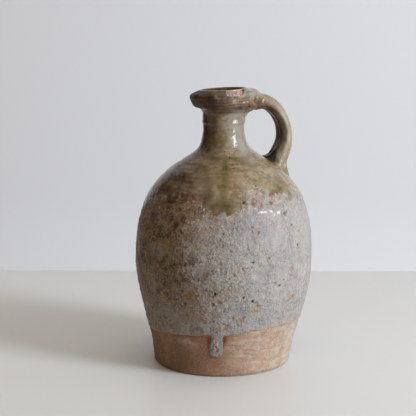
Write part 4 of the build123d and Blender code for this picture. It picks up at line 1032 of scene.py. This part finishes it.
# ------------------------------------------------------------------------- materials
class Nodes:
    """A little help for writing node trees."""

    def __init__(self, name):
        self.mat = bpy.data.materials.new(name)
        self.mat.use_nodes = True
        self.tree = self.mat.node_tree
        self.tree.nodes.clear()
        self.out = self.tree.nodes.new("ShaderNodeOutputMaterial")
        self.bsdf = self.tree.nodes.new("ShaderNodeBsdfPrincipled")
        self.tree.links.new(self.bsdf.outputs["BSDF"], self.out.inputs["Surface"])
        self.coord = self.tree.nodes.new("ShaderNodeTexCoord").outputs["Object"]

    def put(self, value, socket):
        if isinstance(value, bpy.types.NodeSocket):
            self.tree.links.new(value, socket)
        else:
            socket.default_value = value

    def attr(self, name):
        n = self.tree.nodes.new("ShaderNodeAttribute")
        n.attribute_type = "GEOMETRY"
        n.attribute_name = name
        return n.outputs["Fac"]

    def scaled(self, x, y, z):
        n = self.tree.nodes.new("ShaderNodeMapping")
        self.tree.links.new(self.coord, n.inputs["Vector"])
        n.inputs["Scale"].default_value = (x, y, z)
        return n.outputs["Vector"]

    def noise(self, size, detail=3.0, rough=0.55, stretch=(1, 1, 1), shift=0.0, warp=0.0):
        """Noise with features about size mm across; stretch over 1 draws them out along that axis."""
        n = self.tree.nodes.new("ShaderNodeTexNoise")
        n.inputs["Scale"].default_value = 1.0
        n.inputs["Detail"].default_value = detail
        n.inputs["Roughness"].default_value = rough
        n.inputs["Distortion"].default_value = warp
        k = 1000.0 / size
        v = self.tree.nodes.new("ShaderNodeMapping")
        self.tree.links.new(self.coord, v.inputs["Vector"])
        v.inputs["Scale"].default_value = (k / stretch[0], k / stretch[1], k / stretch[2])
        v.inputs["Location"].default_value = (shift, shift * 0.7, shift * 1.3)
        self.tree.links.new(v.outputs["Vector"], n.inputs["Vector"])
        return n.outputs["Fac"]

    def voronoi(self, size, shift=0.0, feature="F1", rnd=1.0):
        n = self.tree.nodes.new("ShaderNodeTexVoronoi")
        n.feature = feature
        n.inputs["Scale"].default_value = 1.0
        n.inputs["Randomness"].default_value = rnd
        k = 1000.0 / size
        v = self.tree.nodes.new("ShaderNodeMapping")
        self.tree.links.new(self.coord, v.inputs["Vector"])
        v.inputs["Scale"].default_value = (k, k, k)
        v.inputs["Location"].default_value = (shift, shift * 0.7, shift * 1.3)
        self.tree.links.new(v.outputs["Vector"], n.inputs["Vector"])
        return n

    def step(self, value, a, b, lo=0.0, hi=1.0, smooth=True):
        n = self.tree.nodes.new("ShaderNodeMapRange")
        n.interpolation_type = "SMOOTHSTEP" if smooth else "LINEAR"
        self.put(value, n.inputs["Value"])
        n.inputs["From Min"].default_value = a
        n.inputs["From Max"].default_value = b
        n.inputs["To Min"].default_value = lo
        n.inputs["To Max"].default_value = hi
        return n.outputs["Result"]

    def math(self, op, a, b=0.0, clamp=False):
        n = self.tree.nodes.new("ShaderNodeMath")
        n.operation = op
        n.use_clamp = clamp
        self.put(a, n.inputs[0])
        self.put(b, n.inputs[1])
        return n.outputs[0]

    def mix(self, fac, a, b):
        n = self.tree.nodes.new("ShaderNodeMix")
        n.data_type = "RGBA"
        n.blend_type = "MIX"
        self.put(fac, n.inputs["Factor"])
        self.put(a if isinstance(a, bpy.types.NodeSocket) else tuple(a) + (1.0,), n.inputs["A"])
        self.put(b if isinstance(b, bpy.types.NodeSocket) else tuple(b) + (1.0,), n.inputs["B"])
        return n.outputs["Result"]

    def bump(self, height, distance, strength=1.0, normal=None):
        n = self.tree.nodes.new("ShaderNodeBump")
        n.inputs["Strength"].default_value = strength
        n.inputs["Distance"].default_value = distance
        self.put(height, n.inputs["Height"])
        if normal is not None:
            self.tree.links.new(normal, n.inputs["Normal"])
        return n.outputs["Normal"]


def rgb(r, g, b):
    """A colour given as it looks on screen, 0 to 255, in linear light."""
    return tuple((c / 255 / 12.92) if c / 255 <= 0.04045 else ((c / 255 + 0.055) / 1.055) ** 2.4 for c in (r, g, b))


def matte_look(m):
    """Colour, roughness and height (mm) of the dry grey coat."""
    part = lambda name, k: m.math("MULTIPLY", m.attr(name), k)
    warm = m.attr("warm")
    cloud = m.noise(26, 4, 0.6)
    blotch = m.noise(6, 4, 0.65, shift=12)
    fine = m.noise(1.9, 4, 0.72, shift=3)
    grain = m.noise(0.95, 2, 0.6, shift=5)
    fleck = m.noise(1.5, 3, 0.6, shift=27)
    streak = m.noise(8, 4, 0.62, stretch=(1, 1, 4.5), shift=8)
    turned = m.noise(2.0, 3, 0.6, stretch=(12, 12, 0.8), shift=15)
    tone = m.step(cloud, 0.36, 0.64)
    col = m.mix(tone, rgb(154, 150, 149), rgb(168, 164, 160))
    col = m.mix(m.step(warm, 0.0, 0.45), col, m.mix(tone, rgb(145, 132, 120), rgb(159, 146, 133)))
    col = m.mix(m.step(warm, 0.45, 1.0), col, m.mix(tone, rgb(117, 91, 59), rgb(138, 112, 80)))
    patchy = m.step(m.noise(13, 4, 0.6, shift=31), 0.38, 0.62, 0.45, 1.15)
    lively = m.math("MULTIPLY", m.step(warm, 0.0, 0.3, 0.46, 1.0), patchy)
    col = m.mix(m.step(streak, 0.5, 0.70, 0, 0.4), col, m.mix(warm, rgb(140, 131, 134), rgb(106, 84, 62)))
    col = m.mix(m.step(blotch, 0.52, 0.68, 0, 0.35), col, m.mix(warm, rgb(178, 173, 168), rgb(140, 117, 87)))
    col = m.mix(m.step(turned, 0.52, 0.70, 0, 0.25), col, m.mix(warm, rgb(146, 136, 131), rgb(104, 82, 58)))
    runs = m.noise(4.5, 4, 0.62, stretch=(1, 1, 5.0), shift=37)
    col = m.mix(m.step(runs, 0.52, 0.68, 0, 0.4), col, m.mix(warm, rgb(184, 180, 178), rgb(150, 128, 98)))
    sooty = m.math("MULTIPLY", m.attr("soot"), m.step(blotch, 0.34, 0.56, 0.45, 1.0))
    col = m.mix(sooty, col, m.mix(m.step(fine, 0.40, 0.62), rgb(50, 32, 15), rgb(98, 72, 44)))
    col = m.mix(part("ash", 0.75), col, m.mix(m.step(blotch, 0.4, 0.6), rgb(152, 144, 138), rgb(182, 177, 172)))
    col = m.mix(m.math("MULTIPLY", m.step(m.attr("crust"), 0.6, 0.95, 0, 0.30), lively), col, m.mix(warm, rgb(206, 200, 194), rgb(168, 147, 119)))
    col = m.mix(m.math("MULTIPLY", m.step(m.attr("crust"), 0.42, 0.0, 0, 0.5), lively), col, m.mix(warm, rgb(110, 96, 86), rgb(72, 52, 34)))
    lilac = m.math("MULTIPLY", m.attr("lilac"), 0.75)
    col = m.mix(lilac, col, rgb(132, 123, 126))
    col = m.mix(m.math("MULTIPLY", m.step(fine, 0.52, 0.64, 0, 0.7), lively), col, m.mix(warm, rgb(208, 202, 196), rgb(172, 151, 123)))
    col = m.mix(m.math("MULTIPLY", m.step(fine, 0.48, 0.34, 0, 0.75), lively), col, m.mix(warm, rgb(100, 86, 76), rgb(64, 46, 30)))
    col = m.mix(m.math("MULTIPLY", m.step(fleck, 0.40, 0.29, 0, 0.85), lively), col, rgb(80, 62, 48))
    col = m.mix(part("stain", 0.75), col, m.mix(m.step(blotch, 0.42, 0.58), rgb(120, 92, 62), rgb(156, 138, 108)))
    col = m.mix(part("pore", 0.5), col, rgb(90, 70, 56))
    col = m.mix(part("thin", 0.5), col, rgb(168, 144, 122))
    col = m.mix(m.math("MULTIPLY", m.attr("run"), m.step(fleck, 0.36, 0.52, 0.7, 0.25)), col, rgb(128, 112, 100))
    col = m.mix(part("shade", 0.45), col, rgb(92, 74, 62))
    col = m.mix(part("rim", 0.7), col, rgb(208, 202, 194))
    col = m.mix(part("peach", 0.7), col, rgb(192, 154, 128))
    col = m.mix(part("ochre", 0.9), col, m.mix(m.step(fine, 0.42, 0.58), rgb(134, 98, 56), rgb(186, 152, 106)))
    col = m.mix(part("rust", 0.85), col, m.mix(m.step(grain, 0.4, 0.6), rgb(92, 58, 40), rgb(150, 106, 76)))
    col = m.mix(part("umber", 0.8), col, m.mix(m.step(fine, 0.4, 0.6), rgb(48, 29, 14), rgb(84, 58, 36)))
    col = m.mix(part("dark", 0.94), col, rgb(34, 19, 11))
    # painted highlight: the glass beads are drawn near white so they show as glints
    col = m.mix(m.step(m.attr("glass_bead_and_glint"), 0.25, 0.75, 0, 0.85), col, rgb(232, 230, 226))
    rough = m.math("ADD", m.step(fine, 0.3, 0.7, 0.62, 0.46), m.math("ADD", part("glass_bead_and_glint", -0.46), m.math("ADD", part("warm", -0.14), part("dark", 0.3))))
    height = m.math("ADD", m.math("MULTIPLY", fine, 1.2), m.math("ADD", m.math("MULTIPLY", grain, 0.45), m.math("MULTIPLY", fleck, 0.4)))
    return col, rough, m.math("MULTIPLY", height, patchy)


def matte_material():
    m = Nodes("matte_grey_glaze")
    col, rough, height = matte_look(m)
    m.put(col, m.bsdf.inputs["Base Color"])
    m.put(rough, m.bsdf.inputs["Roughness"])
    m.put(m.bump(height, 0.001), m.bsdf.inputs["Normal"])
    m.bsdf.inputs["Specular IOR Level"].default_value = 0.25
    return m.mat


def gloss_material(name, level):
    m = Nodes(name)
    part = lambda name, k: m.math("MULTIPLY", m.attr(name), k)
    cloud = m.noise(15, 4, 0.6)
    streak = m.noise(5, 4, 0.62, stretch=(1, 1, 3.0), shift=4)
    lines = m.noise(2.2, 3, 0.6, stretch=(12, 12, 0.7), shift=9)
    mottle = m.noise(3.0, 5, 0.72, shift=21)
    fine = m.noise(1.5, 3, 0.6, shift=2)
    speck = m.noise(1.1, 2, 0.6, shift=13)
    col = m.mix(m.step(m.attr("pool"), 0.2, 0.85), rgb(149, 130, 105), rgb(114, 96, 67))
    col = m.mix(m.step(streak, 0.50, 0.70, 0, 0.45), col, rgb(112, 100, 68))
    col = m.mix(m.step(cloud, 0.52, 0.72, 0, 0.4), col, rgb(166, 151, 131))
    col = m.mix(m.step(mottle, 0.52, 0.64, 0, 0.65), col, rgb(92, 78, 50))
    col = m.mix(m.step(mottle, 0.46, 0.36, 0, 0.5), col, rgb(180, 165, 142))
    col = m.mix(m.step(lines, 0.54, 0.70, 0, 0.4), col, rgb(106, 86, 60))
    col = m.mix(m.step(speck, 0.38, 0.28, 0, 0.6), col, rgb(78, 60, 40))
    col = m.mix(part("drip", 0.95), col, m.mix(m.step(mottle, 0.42, 0.6), rgb(72, 70, 30), rgb(102, 92, 48)))
    burn = m.mix(m.step(streak, 0.35, 0.65), rgb(52, 33, 15), rgb(84, 62, 35))
    burn = m.mix(m.step(mottle, 0.50, 0.66, 0, 0.5), burn, rgb(110, 88, 59))
    col = m.mix(m.attr("burnt"), col, burn)
    col = m.mix(part("ridge", 0.5), col, rgb(138, 118, 90))
    col = m.mix(part("groove", 0.75), col, rgb(50, 33, 17))
    col = m.mix(part("line", 0.7), col, rgb(92, 66, 40))
    col = m.mix(part("milk", 0.8), col, m.mix(m.step(fine, 0.4, 0.62), rgb(152, 140, 132), rgb(180, 170, 163)))
    col = m.mix(part("pale", 0.8), col, m.mix(m.step(streak, 0.4, 0.65), rgb(182, 175, 158), rgb(156, 149, 126)))
    # painted reflection of the bright room on the neck's right side
    col = m.mix(part("cool", 0.8), col, m.mix(m.step(streak, 0.4, 0.65), rgb(161, 161, 156), rgb(144, 142, 131)))
    # painted highlight along the lip's crest
    col = m.mix(part("lip", 0.85), col, rgb(186, 178, 162))
    col = m.mix(part("peach", 0.6), col, rgb(190, 152, 122))
    col = m.mix(part("ochre", 0.8), col, rgb(160, 118, 66))
    col = m.mix(part("rust", 0.9), col, m.mix(m.step(fine, 0.4, 0.6), rgb(88, 48, 28), rgb(150, 92, 60)))
    # dark pits and spots, and painted shade in the crevice at the handle's foot
    col = m.mix(part("dark", 0.95), col, rgb(26, 17, 11))
    rough = m.math("ADD", m.step(fine, 0.35, 0.75, 0.06, 0.16), part("milk", 0.22))
    rough = m.math("ADD", rough, m.math("ADD", part("dark", 0.3), part("dull", 0.38)))
    height = m.math("ADD", m.math("MULTIPLY", fine, 0.10), m.math("MULTIPLY", m.noise(4.5, 2, 0.5, shift=6), 0.22))
    dry_col, dry_rough, dry_height = matte_look(m)
    fade = m.attr("fade")
    m.put(m.mix(fade, col, dry_col), m.bsdf.inputs["Base Color"])
    m.put(m.math("ADD", m.math("MULTIPLY", rough, m.math("SUBTRACT", 1.0, fade)), m.math("MULTIPLY", dry_rough, fade)), m.bsdf.inputs["Roughness"])
    m.put(m.bump(m.math("ADD", height, m.math("MULTIPLY", dry_height, fade)), 0.001), m.bsdf.inputs["Normal"])
    m.bsdf.inputs["Specular IOR Level"].default_value = level
    return m.mat


def clay_material():
    m = Nodes("bare_stoneware")
    part = lambda name, k: m.math("MULTIPLY", m.attr(name), k)
    cloud = m.noise(20, 4, 0.6)
    turn = m.noise(1.8, 3, 0.6, stretch=(16, 16, 0.7), shift=3)
    fine = m.noise(1.4, 3, 0.7, shift=5)
    patch = m.noise(6, 4, 0.65, stretch=(1.6, 1.6, 1), shift=7)
    col = m.mix(m.step(cloud, 0.35, 0.65), rgb(150, 112, 86), rgb(166, 130, 104))
    col = m.mix(part("scorch", 0.8), col, m.mix(m.step(cloud, 0.4, 0.6), rgb(132, 98, 68), rgb(152, 118, 84)))
    col = m.mix(part("pale", 0.8), col, m.mix(m.step(patch, 0.38, 0.62), rgb(172, 145, 124), rgb(188, 170, 153)))
    col = m.mix(part("smear", 0.85), col, m.mix(m.step(patch, 0.42, 0.58), rgb(180, 157, 136), rgb(200, 183, 163)))
    col = m.mix(part("peach", 0.6), col, m.mix(m.step(fine, 0.4, 0.6), rgb(198, 142, 108), rgb(206, 164, 134)))
    col = m.mix(m.step(turn, 0.52, 0.72, 0, 0.30), col, rgb(132, 100, 78))
    col = m.mix(m.step(fine, 0.45, 0.30, 0, 0.6), col, rgb(100, 72, 54))
    col = m.mix(m.step(fine, 0.56, 0.72, 0, 0.45), col, rgb(206, 186, 164))
    col = m.mix(m.step(m.noise(2.6, 3, 0.7, shift=11), 0.42, 0.30, 0, 0.45), col, rgb(116, 86, 64))
    col = m.mix(part("rust", 0.85), col, m.mix(m.step(fine, 0.4, 0.62), rgb(104, 42, 26), rgb(150, 76, 50)))
    col = m.mix(part("scar", 0.95), col, m.mix(m.step(fine, 0.40, 0.60), rgb(126, 112, 114), rgb(184, 172, 170)))
    col = m.mix(part("pink", 0.95), col, m.mix(m.step(fine, 0.40, 0.60), rgb(164, 114, 92), rgb(208, 175, 160)))
    col = m.mix(part("cool", 0.75), col, m.mix(m.step(patch, 0.4, 0.6), rgb(172, 158, 144), rgb(190, 180, 168)))
    m.put(col, m.bsdf.inputs["Base Color"])
    m.put(m.step(fine, 0.3, 0.7, 0.9, 0.7), m.bsdf.inputs["Roughness"])
    height = m.math("ADD", m.math("MULTIPLY", turn, 0.5), m.math("MULTIPLY", fine, 0.5))
    m.put(m.bump(height, 0.001), m.bsdf.inputs["Normal"])
    m.bsdf.inputs["Specular IOR Level"].default_value = 0.3
    return m.mat


# the second glaze is a copy with weak reflection, for the handle's shaded inner side: painted shade
MATTE, GLOSS, SHADED_SIDE_GLAZE, CLAY = matte_material(), gloss_material("olive_ash_glaze", 0.36), gloss_material("shaded_side_ash_glaze", 0.14), clay_material()
for name, obj in PIECES.items():
    obj.data.materials.append(CLAY if name.endswith("_clay") else MATTE if name == "lower_glaze" else GLOSS)
    if name in INNER:
        obj.data.materials.append(SHADED_SIDE_GLAZE)
        obj.data.polygons.foreach_set("material_index", INNER[name])


# ------------------------------------------------------------------- floor, wall and light
def plain(name, colour, rough):
    mat = bpy.data.materials.new(name)
    mat.use_nodes = True
    b = mat.node_tree.nodes["Principled BSDF"]
    b.inputs["Base Color"].default_value = colour + (1.0,)
    b.inputs["Roughness"].default_value = rough
    b.inputs["Specular IOR Level"].default_value = 0.3
    return mat


def cam_frame(right, away, up):
    """A place given from the pot's axis in the photograph's own directions, in metres."""
    a = VIEW_AZ
    return (right * math.cos(a) - away * math.sin(a), right * math.sin(a) + away * math.cos(a), up)


def sheet(name, corners, mat):
    mesh = bpy.data.meshes.new(name)
    mesh.from_pydata([cam_frame(*c) for c in corners], [], [tuple(range(len(corners)))])
    obj = bpy.data.objects.new(name, mesh)
    bpy.context.scene.collection.objects.link(obj)
    mesh.materials.append(mat)
    return obj


sheet("floor", [(-4, -2.5, 0), (4, -2.5, 0), (4, 0.356, 0), (-4, 0.356, 0)], plain("pale_floor", rgb(213, 216, 217), 0.4))
wall = plain("pale_wall", rgb(216, 216, 218), 0.9)
sheet("backdrop", [(-0.75, 0.9, -1.0), (4, 0.9, -1.0), (4, 0.9, 3.0), (-0.75, 0.9, 3.0)], wall)
far_left = sheet("backdrop_left", [(-4, 0.9, -1.0), (-0.75, 0.9, -1.0), (-0.75, 0.9, 3.0), (-4, 0.9, 3.0)], wall)
far_left.visible_glossy = False


def area(name, at, aim, size_x, size_y, power, colour=(1, 1, 1)):
    data = bpy.data.lights.new(name, "AREA")
    data.shape = "RECTANGLE"
    data.size, data.size_y = size_x, size_y
    data.energy = power
    data.color = colour
    obj = bpy.data.objects.new(name, data)
    bpy.context.scene.collection.objects.link(obj)
    a, b = np.array(cam_frame(*at)), np.array(cam_frame(*aim))
    obj.location = a
    from mathutils import Vector

    obj.rotation_euler = Vector(b - a).to_track_quat("-Z", "Y").to_euler()
    return obj


WINDOW, PANE, WASH, ROOM_LOW, ROOM_HIGH, CEILING = 19.4, 26.0, 22.8, 0.045, 0.54, 0.88
area("window", (1.732, -1.0, 0.97), (0.0, 0.0, 0.12), 0.5, 1.72, WINDOW, (0.931, 0.988, 1.06))
area("window_pane", (1.723, -0.995, 0.965), (0.0, 0.0, 0.12), 0.54, 1.33, PANE, (0.931, 0.988, 1.06))
area("wall_wash", (0.7, 0.36, -0.9), (0.4, 0.9, 0.3), 4.0, 0.5, WASH, (0.965, 0.985, 1.01))

# the rest of the room: brighter and whiter on the window's side, dim and warm on the other, with a warm ceiling
world = bpy.data.worlds.new("room")
bpy.context.scene.world = world
world.use_nodes = True
tree = world.node_tree
sky = tree.nodes["Background"]
way = tree.nodes.new("ShaderNodeTexCoord")


def towards(direction, start, stop, low, high):
    """A brightness that grows from start to stop of the cosine to that direction."""
    dot = tree.nodes.new("ShaderNodeVectorMath")
    dot.operation = "DOT_PRODUCT"
    dot.inputs[1].default_value = direction
    tree.links.new(way.outputs["Generated"], dot.inputs[0])
    level = tree.nodes.new("ShaderNodeMapRange")
    level.interpolation_type = "SMOOTHSTEP"
    for key, value in (("From Min", start), ("From Max", stop), ("To Min", low), ("To Max", high)):
        level.inputs[key].default_value = value
    tree.links.new(dot.outputs["Value"], level.inputs["Value"])
    return level.outputs["Result"]


def scaled(colour, amount):
    n = tree.nodes.new("ShaderNodeVectorMath")
    n.operation = "SCALE"
    if isinstance(colour, bpy.types.NodeSocket):
        tree.links.new(colour, n.inputs[0])
    else:
        n.inputs[0].default_value = colour
    tree.links.new(amount, n.inputs["Scale"])
    return n.outputs[0]


side = cam_frame(0.80, 0.35, 0.49)
tint = tree.nodes.new("ShaderNodeMix")
tint.data_type = "RGBA"
tint.inputs["A"].default_value = (1.0, 0.84, 0.66, 1.0)
tint.inputs["B"].default_value = (1.0, 0.985, 0.965, 1.0)
tree.links.new(towards(side, -0.7, 0.4, 0.0, 1.0), tint.inputs["Factor"])
total = tree.nodes.new("ShaderNodeVectorMath")
total.operation = "ADD"
tree.links.new(scaled(tint.outputs["Result"], towards(side, -0.55, 0.9, ROOM_LOW, ROOM_HIGH)), total.inputs[0])
tree.links.new(scaled((1.0, 0.725, 0.455), towards((0.0, 0.0, 1.0), 0.68, 0.97, 0.0, CEILING)), total.inputs[1])
tree.links.new(total.outputs[0], sky.inputs["Color"])

camera = bpy.data.cameras.new("camera")
camera.lens = 99.95
camera.sensor_width = 36.0
camera.clip_start, camera.clip_end = 0.05, 50.0
cam = bpy.data.objects.new("camera", camera)
bpy.context.scene.collection.objects.link(cam)
cam.location = cam_frame(0.0, -1.043, 0.323)
cam.rotation_euler = (math.radians(90 - 9.90), 0.0, VIEW_AZ + math.radians(0.74))
bpy.context.scene.camera = cam
bpy.context.scene.view_settings.view_transform = "Standard"
